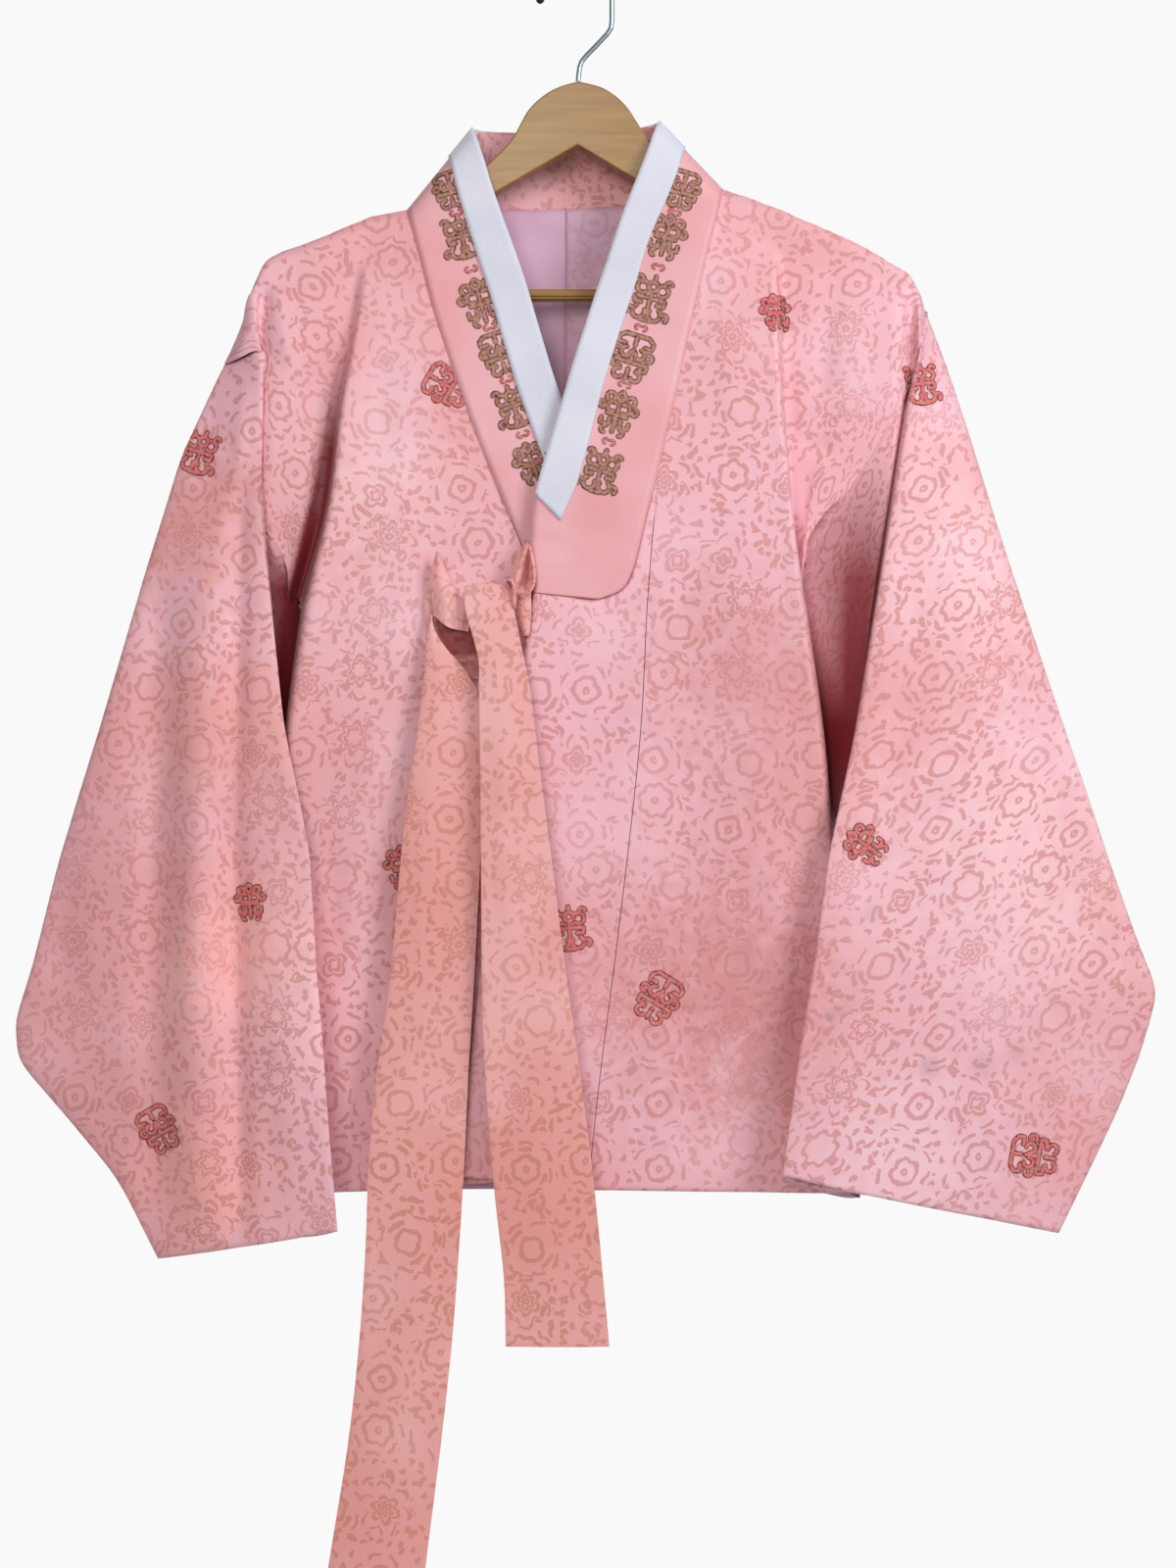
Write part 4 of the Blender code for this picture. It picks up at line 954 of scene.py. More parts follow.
def make_ribbon(name, node, table, looks, count=160, columns=15, bow=1.0, folds=(), seed=31.0, top_bow=0.0):
    points = ribbon_points(table, count, columns, bow)
    for i, row in enumerate(points):
        for j, (x, _, z) in enumerate(row):
            points[i, j, 1] -= 0.6 * relief(x, z, folds, seed)
            points[i, j, 2] += (top_bow * math.sin(math.pi * j / (columns - 1))
                                * (1 - smooth_step((points[0, 0, 2] - z) / 14)))
    return finish_ribbon(name, node, points, looks)


def make_leaf(name, node, leaf, looks):
    """One leaf of the knot, through its edges and creases."""
    lines, shadows = leaf
    points, _ = chord_curve(np.stack([dense(line, 34) for line in lines], axis=1), 0.55)
    rows, columns = points.shape[:2]
    across, down = np.linspace(0, 1, columns)[None, :], np.linspace(0, 1, rows)[:, None]
    # Painted shadow: the dark red fold shade goes where the leaf's table says the leaf lies in shadow.
    recess_shade = np.zeros((rows, columns))
    for left, right, top, bottom, strength in shadows:
        edge = [np.clip((at - low) / soft + 0.5, 0, 1) * np.clip((high - at) / soft + 0.5, 0, 1)
                for at, low, high, soft in ((across, left, right, 0.03 if right - left < 0.05 else 0.12),
                                            (down, top, bottom, 0.03 if bottom - top < 0.05 else 0.12))]
        recess_shade = np.maximum(recess_shade, strength * edge[0] * edge[1])
    return finish_ribbon(name, node, points, looks, recess_shade)


def colour(hex_code):
    """An sRGB hex colour as linear RGBA."""
    values = [int(hex_code[i:i + 2], 16) / 255 for i in (1, 3, 5)]
    return (*[v / 12.92 if v <= 0.04045 else ((v + 0.055) / 1.055) ** 2.4 for v in values], 1.0)


def add(tree, kind, inputs=None, out=0, **settings):
    """Adds a node, sets its properties and its inputs (values or sockets), and returns an output."""
    node = tree.nodes.new(kind)
    for key, value in settings.items():
        setattr(node, key, value)
    for key, value in (inputs or {}).items():
        if isinstance(value, bpy.types.NodeSocket):
            tree.links.new(value, node.inputs[key])
        else:
            node.inputs[key].default_value = value
    return node.outputs[out] if node.outputs else node


def new_material(name):
    material = bpy.data.materials.new(name)
    material.use_nodes = True
    material.node_tree.nodes.clear()
    return material, material.node_tree


def rosettes(tree, place, pitch):
    """A mask of broken scalloped rings, petals and dots round scattered centres. Place is in mm."""
    cell = {"Vector": place, "Scale": 1 / pitch, "Randomness": 0.55}
    centre = add(tree, "ShaderNodeTexVoronoi", cell, out="Position", voronoi_dimensions="2D")
    chance = add(tree, "ShaderNodeTexVoronoi", cell, out="Color", voronoi_dimensions="2D")
    dice = add(tree, "ShaderNodeSeparateColor", {0: chance}).node.outputs
    offset = add(tree, VECTOR_MATH, {0: place, 1: centre}, operation="SUBTRACT")
    radius = add(tree, VECTOR_MATH, {0: offset}, out="Value", operation="LENGTH")
    parts = add(tree, "ShaderNodeSeparateXYZ", {0: offset}).node.outputs
    angle = add(tree, MATH, {0: parts[1], 1: parts[0]}, operation="ARCTAN2")

    # 4, 6 or 8 lobes, deep on the four-petalled ones and shallow on the scalloped ones.
    third = add(tree, MATH, {0: dice[1], 1: 3.0}, operation="MULTIPLY")
    third = add(tree, MATH, {0: third}, operation="FLOOR")
    halves = add(tree, MATH, {0: third, 1: 2.0}, operation="ADD")
    turned = add(tree, MATH, {0: angle, 1: dice[0]}, operation="ADD")
    swing = add(tree, MATH, {0: turned, 1: halves}, operation="MULTIPLY")
    wave = add(tree, MATH, {0: swing}, operation="COSINE")
    lobes = add(tree, MATH, {0: wave}, operation="ABSOLUTE")
    petalled = add(tree, MATH, {0: dice[2], 1: 0.62}, operation="GREATER_THAN")
    depth = add(tree, MATH, {0: petalled, 1: 0.22, 2: 0.15}, operation="MULTIPLY_ADD")
    squeeze = add(tree, MATH, {0: lobes, 1: 1.0}, operation="SUBTRACT")
    squeeze = add(tree, MATH, {0: squeeze, 1: depth, 2: 1.0}, operation="MULTIPLY_ADD")
    shaped = add(tree, MATH, {0: radius, 1: squeeze}, operation="DIVIDE")

    # The outer ring is broken into dashes, the inner one is whole.
    breaks = add(tree, MATH, {0: turned, 1: 7.0}, operation="MULTIPLY")
    breaks = add(tree, MATH, {0: breaks}, operation="SINE")
    breaks = add(tree, MATH, {0: breaks, 1: -0.45}, operation="GREATER_THAN")
    outer_at = add(tree, MATH, {0: dice[0], 1: 3.4, 2: 15.0}, operation="MULTIPLY_ADD")
    inner_at = add(tree, MATH, {0: dice[1], 1: 3.2, 2: 7.2}, operation="MULTIPLY_ADD")
    heart_at = add(tree, MATH, {0: inner_at, 1: 3.9}, operation="SUBTRACT")
    eyed = add(tree, MATH, {0: dice[0], 1: 0.6}, operation="LESS_THAN")
    flecked = add(tree, MATH, {0: wave, 1: 0.62}, operation="GREATER_THAN")
    with_dots = add(tree, MATH, {0: dice[0], 1: 0.45}, operation="GREATER_THAN")
    dotted = add(tree, MATH, {0: flecked, 1: with_dots}, operation="MULTIPLY")

    # Each ring: what it is measured on, how far out it lies, its half width and where it shows, in mm.
    mask = None
    for measure, at, half_width, shown in (
        (radius, 1.6, 0.9, eyed), (shaped, outer_at, 1.15, breaks), (shaped, inner_at, 1.35, None),
        (shaped, heart_at, 1.2, petalled), (radius, 12.6, 1.5, dotted),
    ):
        ring = add(tree, MATH, {0: measure, 1: at, 2: half_width}, operation="COMPARE")
        if shown:
            ring = add(tree, MATH, {0: ring, 1: shown}, operation="MULTIPLY")
        mask = add(tree, MATH, {0: mask, 1: ring}, operation="MAXIMUM") if mask else ring
    room = add(tree, MATH, {0: shaped, 1: 19.5}, operation="GREATER_THAN")
    return mask, room


def leaves(tree, place, pitch, length, width, kept):
    """A mask of small turned leaves and chips, one to a cell, some left out. Place is in mm."""
    cell = {"Vector": place, "Scale": 1 / pitch, "Randomness": 0.9}
    centre = add(tree, "ShaderNodeTexVoronoi", cell, out="Position", voronoi_dimensions="2D")
    chance = add(tree, "ShaderNodeTexVoronoi", cell, out="Color", voronoi_dimensions="2D")
    dice = add(tree, "ShaderNodeSeparateColor", {0: chance}).node.outputs
    offset = add(tree, VECTOR_MATH, {0: place, 1: centre}, operation="SUBTRACT")
    turn = add(tree, MATH, {0: dice[0], 1: 6.28}, operation="MULTIPLY")
    turned = add(tree, "ShaderNodeVectorRotate", {"Vector": offset, "Angle": turn}, rotation_type="Z_AXIS")
    parts = add(tree, "ShaderNodeSeparateXYZ", {0: turned}).node.outputs
    along = add(tree, MATH, {0: parts[0], 1: length}, operation="DIVIDE")
    along = add(tree, MATH, {0: along, 1: 2.0}, operation="POWER")
    bent = add(tree, MATH, {0: along, 1: 1.1, 2: parts[1]}, operation="MULTIPLY_ADD")
    across = add(tree, MATH, {0: bent, 1: width}, operation="DIVIDE")
    across = add(tree, MATH, {0: across, 1: 2.0}, operation="POWER")
    far = add(tree, MATH, {0: along, 1: across}, operation="ADD")
    leaf = add(tree, MATH, {0: far, 1: 1.0}, operation="LESS_THAN")
    shown = add(tree, MATH, {0: dice[1], 1: kept}, operation="LESS_THAN")
    return add(tree, MATH, {0: leaf, 1: shown}, operation="MULTIPLY")


def figure(tree, pitch):
    """The damask's figure as a mask, and the cloth's own coordinates in millimetres."""
    weave = add(tree, "ShaderNodeUVMap", uv_map="weave")
    place = add(tree, VECTOR_MATH, {0: weave, "Scale": 1000.0}, operation="SCALE")
    waver = add(tree, "ShaderNodeTexNoise", {"Vector": place, "Scale": 0.16, "Detail": 2.0}, out="Color",
                noise_dimensions="2D")
    waver = add(tree, VECTOR_MATH, {0: waver, 1: (0.5, 0.5, 0.5)}, operation="SUBTRACT")
    waver = add(tree, VECTOR_MATH, {0: waver, "Scale": 3.4}, operation="SCALE")
    drawn = add(tree, VECTOR_MATH, {0: place, 1: waver}, operation="ADD")
    flower, room = rosettes(tree, drawn, pitch)
    chips = leaves(tree, drawn, 6.8, 2.3, 1.5, 0.72)
    sprigs = leaves(tree, drawn, 11.5, 4.6, 1.5, 0.6)
    filling = add(tree, MATH, {0: chips, 1: sprigs}, operation="MAXIMUM")
    filling = add(tree, MATH, {0: filling, 1: room}, operation="MULTIPLY")
    return add(tree, MATH, {0: flower, 1: filling}, operation="MAXIMUM"), place


# What the Wave node's Scale is multiplied by to give the distance between its bands.
WAVE_PERIOD = 0.314


def thread_bump(tree, place, strength):
    """The satin's slight ribbed grain. Real threads are finer, so these are drawn 0.9 mm apart to show."""
    ribs = add(tree, "ShaderNodeTexWave", {"Vector": place, "Scale": WAVE_PERIOD / 0.9, "Distortion": 1.5,
                                           "Detail": 1.0, "Detail Scale": 2.0},
               out="Fac", bands_direction="Y")
    slubs = add(tree, "ShaderNodeTexNoise", {"Vector": place, "Scale": 0.5, "Detail": 3.0},
                noise_dimensions="2D")
    grain = add(tree, MATH, {0: ribs, 1: 0.35, 2: slubs}, operation="MULTIPLY_ADD")
    return add(tree, "ShaderNodeBump", {"Height": grain, "Strength": strength, "Distance": 0.0006})


def marked(tree, base, marks):
    """Adds stains, and painted light and shade, to a colour.

    Each mark: x, z, radius in millimetres, hex colour, strength.
    """
    if not marks:
        return base
    body = add(tree, "ShaderNodeTexCoord", out="Object")
    rough = add(tree, "ShaderNodeTexNoise", {"Vector": body, "Scale": 90.0, "Detail": 4.0})
    for x, z, radius, stain_and_painted_light, strength in marks:
        near = add(tree, VECTOR_MATH, {0: body, 1: (x * MM, -0.02, z * MM)}, operation="SUBTRACT")
        flat = add(tree, VECTOR_MATH, {0: near, 1: (1.0, 0.25, 1.0)}, operation="MULTIPLY")
        far = add(tree, VECTOR_MATH, {0: flat}, out="Value", operation="LENGTH")
        ragged = add(tree, MATH, {0: rough, 1: 1.6 * radius * MM, 2: far}, operation="MULTIPLY_ADD")
        spread = {0: ragged, 1: 0.7 * radius * MM, 2: 2.1 * radius * MM, 3: strength, 4: 0.0}
        share = add(tree, "ShaderNodeMapRange", spread, interpolation_type="SMOOTHSTEP")
        base = add(tree, "ShaderNodeMix", {0: share, 6: base, 7: colour(stain_and_painted_light)}, out=2, data_type="RGBA")
    return base


def damask(name, pitch, colours, light_and_shade=(), stains=(), strength=0.72):
    """Figured satin of polyester silk: a smooth glossy ground, and a duller tan figure woven in it.

    It gives the eye a soft gloss on the ground, and a matt figure that shows at every angle.
    """
    material, tree = new_material(name)
    ground, warm, pale, figure_colour = (tuple(value) for value in colours)
    mask, place = figure(tree, pitch / MM)
    body = add(tree, "ShaderNodeTexCoord", out="Object")
    wide = add(tree, "ShaderNodeTexNoise", {"Vector": body, "Scale": 5.5, "Detail": 1.0})
    drift = add(tree, "ShaderNodeMapRange", {0: wide, 1: 0.38, 2: 0.62})
    cloth_colour = add(tree, "ShaderNodeMix", {0: drift, 6: ground, 7: warm}, out=2, data_type="RGBA")
    # Pale lilac on random patches of the ground: a painted sheen that stands in for the satin's highlights,
    # and the figure shows fainter in them.
    sheen_patch = add(tree, "ShaderNodeTexNoise", {"Vector": body, "Scale": 13.0, "Detail": 1.0})
    painted_sheen = add(tree, "ShaderNodeMapRange", {0: sheen_patch, 1: 0.5, 2: 0.72, 3: 0.0, 4: 0.55})
    cloth_colour = add(tree, "ShaderNodeMix", {0: painted_sheen, 6: cloth_colour, 7: pale}, out=2, data_type="RGBA")
    # Painted light and shade: lighter and darker pools laid on the ground, under the figure.
    cloth_colour = marked(tree, cloth_colour, light_and_shade)
    shown = add(tree, "ShaderNodeMapRange", {0: sheen_patch, 1: 0.4, 2: 0.7, 3: strength, 4: strength * 0.55})
    share = add(tree, MATH, {0: mask, 1: shown}, operation="MULTIPLY")
    mixed = add(tree, "ShaderNodeMix", {0: share, 6: cloth_colour, 7: figure_colour}, out=2, data_type="RGBA")
    mixed = marked(tree, mixed, stains)
    # Painted shade: dark red mixed in where the cloth lies deep in a fold, as its attribute says.
    recess_shade = add(tree, "ShaderNodeAttribute", attribute_name="recess_shade", out="Fac")
    recess_shade = add(tree, MATH, {0: recess_shade, 1: FOLD_SHADE_DARKEST}, operation="MULTIPLY")
    mixed = add(tree, "ShaderNodeMix", {0: recess_shade, 6: mixed, 7: colour(FOLD_SHADE_COLOUR)}, out=2, data_type="RGBA")
    rough = add(tree, "ShaderNodeMapRange", {0: mask, 3: 0.42, 4: 0.6})
    shader = add(tree, "ShaderNodeBsdfPrincipled", {
        "Base Color": mixed, "Roughness": rough, "Specular IOR Level": 0.32, "Sheen Weight": 0.25,
        "Sheen Roughness": 0.4, "Sheen Tint": colour("#FFE3E6"), "Normal": thread_bump(tree, place, 0.22)})
    add(tree, "ShaderNodeOutputMaterial", {"Surface": shader})
    return material


def plain_satin(name, base, dark, gloss, bump):
    """Plain woven satin: even colour with faint cross ribs and slow shifts of shade."""
    material, tree = new_material(name)
    weave = add(tree, "ShaderNodeUVMap", uv_map="weave")
    place = add(tree, VECTOR_MATH, {0: weave, "Scale": 1000.0}, operation="SCALE")
    body = add(tree, "ShaderNodeTexCoord", out="Object")
    slow = add(tree, "ShaderNodeTexNoise", {"Vector": body, "Scale": 16.0, "Detail": 2.0})
    share = add(tree, "ShaderNodeMapRange", {0: slow, 1: 0.35, 2: 0.65})
    mixed = add(tree, "ShaderNodeMix", {0: share, 6: colour(base), 7: colour(dark)}, out=2, data_type="RGBA")
    shader = add(tree, "ShaderNodeBsdfPrincipled", {
        "Base Color": mixed, "Roughness": gloss, "Specular IOR Level": 0.3, "Sheen Weight": 0.15,
        "Normal": thread_bump(tree, place, bump)})
    add(tree, "ShaderNodeOutputMaterial", {"Surface": shader})
    return material


def enamel_print(name, base):
    """Printed and flocked ornament: matt pigment with a little mottling."""
    material, tree = new_material(name)
    body = add(tree, "ShaderNodeTexCoord", out="Object")
    mottle = add(tree, "ShaderNodeTexNoise", {"Vector": body, "Scale": 420.0, "Detail": 2.0})
    share = add(tree, "ShaderNodeMapRange", {0: mottle, 1: 0.3, 2: 0.7, 3: 0.0, 4: 0.35})
    mixed = add(tree, "ShaderNodeMix", {0: share, 6: colour(base), 7: colour("#F3C3B2")}, out=2,
                data_type="RGBA")
    shader = add(tree, "ShaderNodeBsdfPrincipled", {"Base Color": mixed, "Roughness": 0.62,
                                                    "Specular IOR Level": 0.25})
    add(tree, "ShaderNodeOutputMaterial", {"Surface": shader})
    return material


def beech(name, light, dark):
    """Lacquered beech: tan with short darker flecks along the grain and a satin varnish."""
    material, tree = new_material(name)
    body = add(tree, "ShaderNodeTexCoord", out="Object")
    grain_vector = add(tree, "ShaderNodeMapping", {"Vector": body, "Scale": (14.0, 120.0, 210.0)})
    grain = add(tree, "ShaderNodeTexNoise", {"Vector": grain_vector, "Scale": 1.0, "Detail": 5.0,
                                             "Roughness": 0.6})
    share = add(tree, "ShaderNodeMapRange", {0: grain, 1: 0.35, 2: 0.68})
    mixed = add(tree, "ShaderNodeMix", {0: share, 6: light, 7: dark}, out=2, data_type="RGBA")
    pores = add(tree, "ShaderNodeTexNoise", {"Vector": grain_vector, "Scale": 4.0, "Detail": 2.0})
    fleck = add(tree, "ShaderNodeMapRange", {0: pores, 1: 0.66, 2: 0.74, 3: 0.0, 4: 0.4})
    mixed = add(tree, "ShaderNodeMix", {0: fleck, 6: mixed, 7: colour("#8F6232")}, out=2, data_type="RGBA")
    bump = add(tree, "ShaderNodeBump", {"Height": grain, "Strength": 0.12, "Distance": 0.0004})
    shader = add(tree, "ShaderNodeBsdfPrincipled", {
        "Base Color": mixed, "Roughness": 0.38, "Coat Weight": 0.25, "Coat Roughness": 0.2, "Normal": bump})
    add(tree, "ShaderNodeOutputMaterial", {"Surface": shader})
    return material


def bright_steel(name, steel):
    """Chromed steel wire: a bluish bright metal with fine drawn scratches along it."""
    material, tree = new_material(name)
    body = add(tree, "ShaderNodeTexCoord", out="Object")
    stretched = add(tree, "ShaderNodeMapping", {"Vector": body, "Scale": (260.0, 260.0, 40.0)})
    scratch = add(tree, "ShaderNodeTexNoise", {"Vector": stretched, "Scale": 1.0, "Detail": 3.0})
    rough = add(tree, "ShaderNodeMapRange", {0: scratch, 3: 0.28, 4: 0.45})
    shade = add(tree, "ShaderNodeMix", {0: scratch, 6: steel, 7: colour("#8C98A0")}, out=2, data_type="RGBA")
    shader = add(tree, "ShaderNodeBsdfPrincipled", {"Base Color": shade, "Metallic": 1.0, "Roughness": rough})
    add(tree, "ShaderNodeOutputMaterial", {"Surface": shader})
    return material


def dipped_plastic(name):
    """Black dip-moulded PVC: nearly matt, with a faint unevenness."""
    material, tree = new_material(name)
    body = add(tree, "ShaderNodeTexCoord", out="Object")
    lumps = add(tree, "ShaderNodeTexNoise", {"Vector": body, "Scale": 700.0, "Detail": 2.0})
    rough = add(tree, "ShaderNodeMapRange", {0: lumps, 3: 0.35, 4: 0.55})
    bump = add(tree, "ShaderNodeBump", {"Height": lumps, "Strength": 0.2, "Distance": 0.0003})
    shader = add(tree, "ShaderNodeBsdfPrincipled", {"Base Color": colour("#17171A"), "Roughness": rough,
                                                    "Normal": bump})
    add(tree, "ShaderNodeOutputMaterial", {"Surface": shader})
    return material


# Painted light and shade on the silk's ground: lighter and darker pools where the light falls more or less.
# Each: x, z, radius, colour, strength.
GROUND_LIGHT_AND_SHADE = (
    (95.0, -640.0, 95.0, "#CF8684", 0.75),
    (110.0, -450.0, 80.0, "#D58C8D", 0.65),
    (-20.0, -640.0, 60.0, "#E3A2A3", 0.4),
    (-125.0, -330.0, 60.0, "#F3CBD4", 0.6),
    (-110.0, -420.0, 60.0, "#F3C6D0", 0.4),
    (270.0, -560.0, 110.0, "#F5CBD3", 0.7),
    (240.0, -380.0, 70.0, "#F5CBD3", 0.6),
    (200.0, -740.0, 70.0, "#F6D0DA", 0.7),
    (-240.0, -350.0, 60.0, "#DE9690", 0.8),
    (-222.0, -470.0, 60.0, "#E39B92", 0.7),
    (-300.0, -560.0, 70.0, "#E0A0A8", 0.6),
    (-205.0, -620.0, 60.0, "#FAAFA6", 0.8),
    (-225.0, -760.0, 60.0, "#FAAFA8", 0.75),
    (-146.0, -650.0, 70.0, "#FCC8D2", 0.8),
)
# Stains in the silk, in the same columns: one brown speck, and faint grey ones.
STAINS = (
    (-202.0, -621.0, 2.2, "#9C5A2A", 0.75),
    (156.0, -655.0, 11.0, "#9A8A92", 0.35),
    (182.0, -592.0, 8.0, "#9A8A92", 0.3),
    (217.0, -687.0, 9.0, "#8E6F80", 0.4),
    (250.0, -687.0, 11.0, "#8E7F8A", 0.32),
    (272.0, -678.0, 8.0, "#9A8A92", 0.3),
)


def make_looks(sizes):
    """Every finish by name."""
    pitch = sizes.rosette_pitch
    jacket = (sizes.ground, sizes.warm, sizes.pale, sizes.figure)
    # Each list: ground, warm ground, pale ground that is laid on as a painted sheen, figure.
    ribbon = [colour(c) for c in ("#E8A8A6", "#E39B96", "#F4C0C3", "#C4806C")]
    inside = [colour(c) for c in ("#E0A6AC", "#DB9A9B", "#E6B5C0", "#B97674")]
    facing = [colour(c) for c in ("#D3AEC8", "#CDA3BC", "#D9BAD2", "#CE98A6")]
    return {
        "damask": damask("damask_satin", pitch, jacket, GROUND_LIGHT_AND_SHADE, STAINS, 0.66),
        "ribbon": damask("damask_ribbon", pitch, ribbon, strength=0.7),
        "figured_inside": damask("damask_neckband_inside", pitch, inside, strength=0.8),
        "lining_figured": damask("damask_lining", pitch, facing, strength=0.55),
        "collar": plain_satin("neckband_satin", "#E8B0BA", "#E2A0A5", 0.45, 0.3),
        "lining": plain_satin("acetate_lining", "#D3AEC8", "#C79CB8", 0.4, 0.15),
        "white_band": plain_satin("stiffened_cotton_band", "#D9DCEA", "#CFD1E2", 0.7, 0.35),
        "red": enamel_print("red_print", "#CE525C"),
        "red_edge": enamel_print("dark_red_outline", "#571B22"),
        "gold": enamel_print("gold_brown_print", "#98604F"),
        "gold_edge": enamel_print("dark_brown_outline", "#3B211C"),
        "wood": beech("lacquered_beech", tuple(sizes.wood_colour), colour("#8E6935")),
        # A darker copy of the wood for faces turned downwards: painted shade on the underside.
        "wood_underside_shade": beech("lacquered_beech_underside_painted_shade", colour("#9A6A30"), colour("#7E5222")),
        # Dark brown for the lines along the bar, drawn as thin dark cylinders.
        "groove": beech("dark_groove_wood", colour("#7A5228"), colour("#6A4420")),
        "steel": bright_steel("chromed_steel", tuple(sizes.steel_colour)),
        "ball": dipped_plastic("black_dipped_plastic"),
    }


# Generic ornaments of scrolls and frets, in units of half their height. Each stroke is an arc
# (centre x, y, radius, from degrees, to degrees) or a line of points, and most are mirrored.
SCROLL_BLOOM = (
    ("arc", 0.0, 0.52, 0.2, 0, 360, False),
    ("line", ((0.0, 0.98), (0.0, 0.78)), False),
    ("arc", 0.42, 0.42, 0.24, 150, -130, True),
    ("arc", 0.62, 0.72, 0.14, 250, 20, True),
    ("line", ((0.0, 0.26), (0.0, -0.62)), False),
    ("line", ((-0.62, 0.02), (0.62, 0.02)), False),
    ("line", ((0.62, 0.02), (0.62, -0.22), (0.32, -0.22)), True),
    ("arc", 0.34, -0.62, 0.26, 60, -210, True),
    ("arc", 0.74, -0.66, 0.15, 180, -60, True),
    ("line", ((-0.22, -0.92), (0.22, -0.92)), False),
)
SCROLL_FRET = (
    ("line", ((-0.5, 0.92), (0.5, 0.92)), False),
    ("line", ((0.0, 0.92), (0.0, 0.5)), False),
    ("line", ((0.5, 0.92), (0.72, 0.74), (0.72, 0.5), (0.4, 0.5)), True),
    ("arc", 0.3, 0.16, 0.2, 90, -190, True),
    ("arc", 0.7, 0.1, 0.15, 120, -120, True),
    ("line", ((0.0, 0.34), (0.0, -0.2)), False),
    ("line", ((-0.7, -0.24), (0.7, -0.24)), False),
    ("line", ((0.7, -0.24), (0.7, -0.5), (0.36, -0.5)), True),
    ("line", ((0.0, -0.5), (0.0, -0.94)), False),
    ("arc", 0.36, -0.78, 0.2, 100, -150, True),
)
SCROLL_KNOT = (
    ("line", ((0.0, 0.96), (0.2, 0.72), (0.0, 0.48), (-0.2, 0.72), (0.0, 0.96)), False),
    ("arc", 0.46, 0.62, 0.18, 200, -60, True),
    ("arc", 0.3, 0.2, 0.22, 120, -120, True),
    ("arc", 0.72, 0.2, 0.14, 90, -160, True),
    ("line", ((-0.46, -0.12), (0.46, -0.12)), False),
    ("line", ((0.0, 0.34), (0.0, -0.9)), False),
    ("line", ((0.26, -0.32), (0.26, -0.62), (0.62, -0.62), (0.62, -0.36)), True),
    ("arc", 0.36, -0.86, 0.14, 100, -100, True),
)
COMMA_SCROLLS = (
    ("arc", 0.34, 0.0, 0.26, 150, -90, True),
)
ORNAMENTS = (SCROLL_BLOOM, SCROLL_FRET, SCROLL_KNOT)

# The scattered ornaments: x, z, half height, turn in degrees, which of the three.
RED_PLACES = (
    (-235.0, -306.0, 14.0, -20.0, 0),
    (-80.0, -266.0, 14.0, 60.0, 1),
    (-200.0, -585.0, 11.0, 5.0, 2),
    (-258.0, -726.0, 14.0, 30.0, 1),
    (-107.0, -564.0, 13.0, 10.0, 2),
    (-4.0, -602.0, 14.0, 4.0, 0),
    (51.0, -645.0, 15.0, -32.0, 1),
    (124.0, -220.0, 11.0, 12.0, 2),
    (215.0, -264.0, 13.0, 8.0, 0),
    (177.0, -550.0, 13.0, 55.0, 2),
    (283.0, -743.0, 15.0, 80.0, 1),
)
BACK_PLACES = (
    (-120.0, -300.0, 14.0, 15.0, 0),
    (60.0, -360.0, 14.0, -20.0, 1),
    (-40.0, -560.0, 14.0, 40.0, 2),
    (110.0, -640.0, 14.0, 5.0, 0),
    (-150.0, -690.0, 14.0, -35.0, 1),
    (-270.0, -500.0, 14.0, 20.0, 2),
    (-230.0, -700.0, 14.0, 70.0, 0),
    (250.0, -460.0, 14.0, -15.0, 1),
    (280.0, -660.0, 14.0, 30.0, 2),
    (20.0, -220.0, 14.0, 0.0, 2),
)
# The collar's column: x, z, half height, turn, which. Small comma scrolls go between them.
COLLAR_PLACES = (
    (-78.5, -142.0, 12.0, 12.0, 1),
    (-71.0, -172.5, 14.0, 14.0, 0),
    (-59.5, -213.0, 15.0, 17.0, 2),
    (-47.5, -245.5, 13.5, 19.0, 1),
    (-38.5, -279.0, 13.5, 20.0, 0),
    (-27.5, -313.5, 12.5, 21.0, 2),
    (66.5, -142.5, 12.0, -14.0, 1),
    (56.0, -172.0, 14.0, -15.0, 2),
    (46.0, -212.0, 15.0, -16.0, 0),
    (34.5, -248.5, 15.0, -17.0, 1),
    (25.5, -283.5, 14.0, -17.0, 2),
    (15.0, -320.0, 14.0, -17.0, 0),
)


def stroke_points(stroke, mirrored):
    """A stroke's points about 0.07 apart, in units of half the ornament's height."""
    side = -1.0 if mirrored else 1.0
    if stroke[0] == "arc":
        _, cx, cy, radius, start, end, _ = stroke
        count = max(4, int(abs(end - start) * radius * 0.28))
        angles = np.radians(np.linspace(start, end, count))
        return [(side * (cx + radius * math.cos(a)), cy + radius * math.sin(a)) for a in angles]
    corners = stroke[1]
    points = []
    for (x0, y0), (x1, y1) in zip(corners, corners[1:]):
        count = max(2, int(math.hypot(x1 - x0, y1 - y0) / 0.08))
        points += [(side * (x0 + (x1 - x0) * k / count), y0 + (y1 - y0) * k / count) for k in range(count)]
    return points + [(side * corners[-1][0], corners[-1][1])]


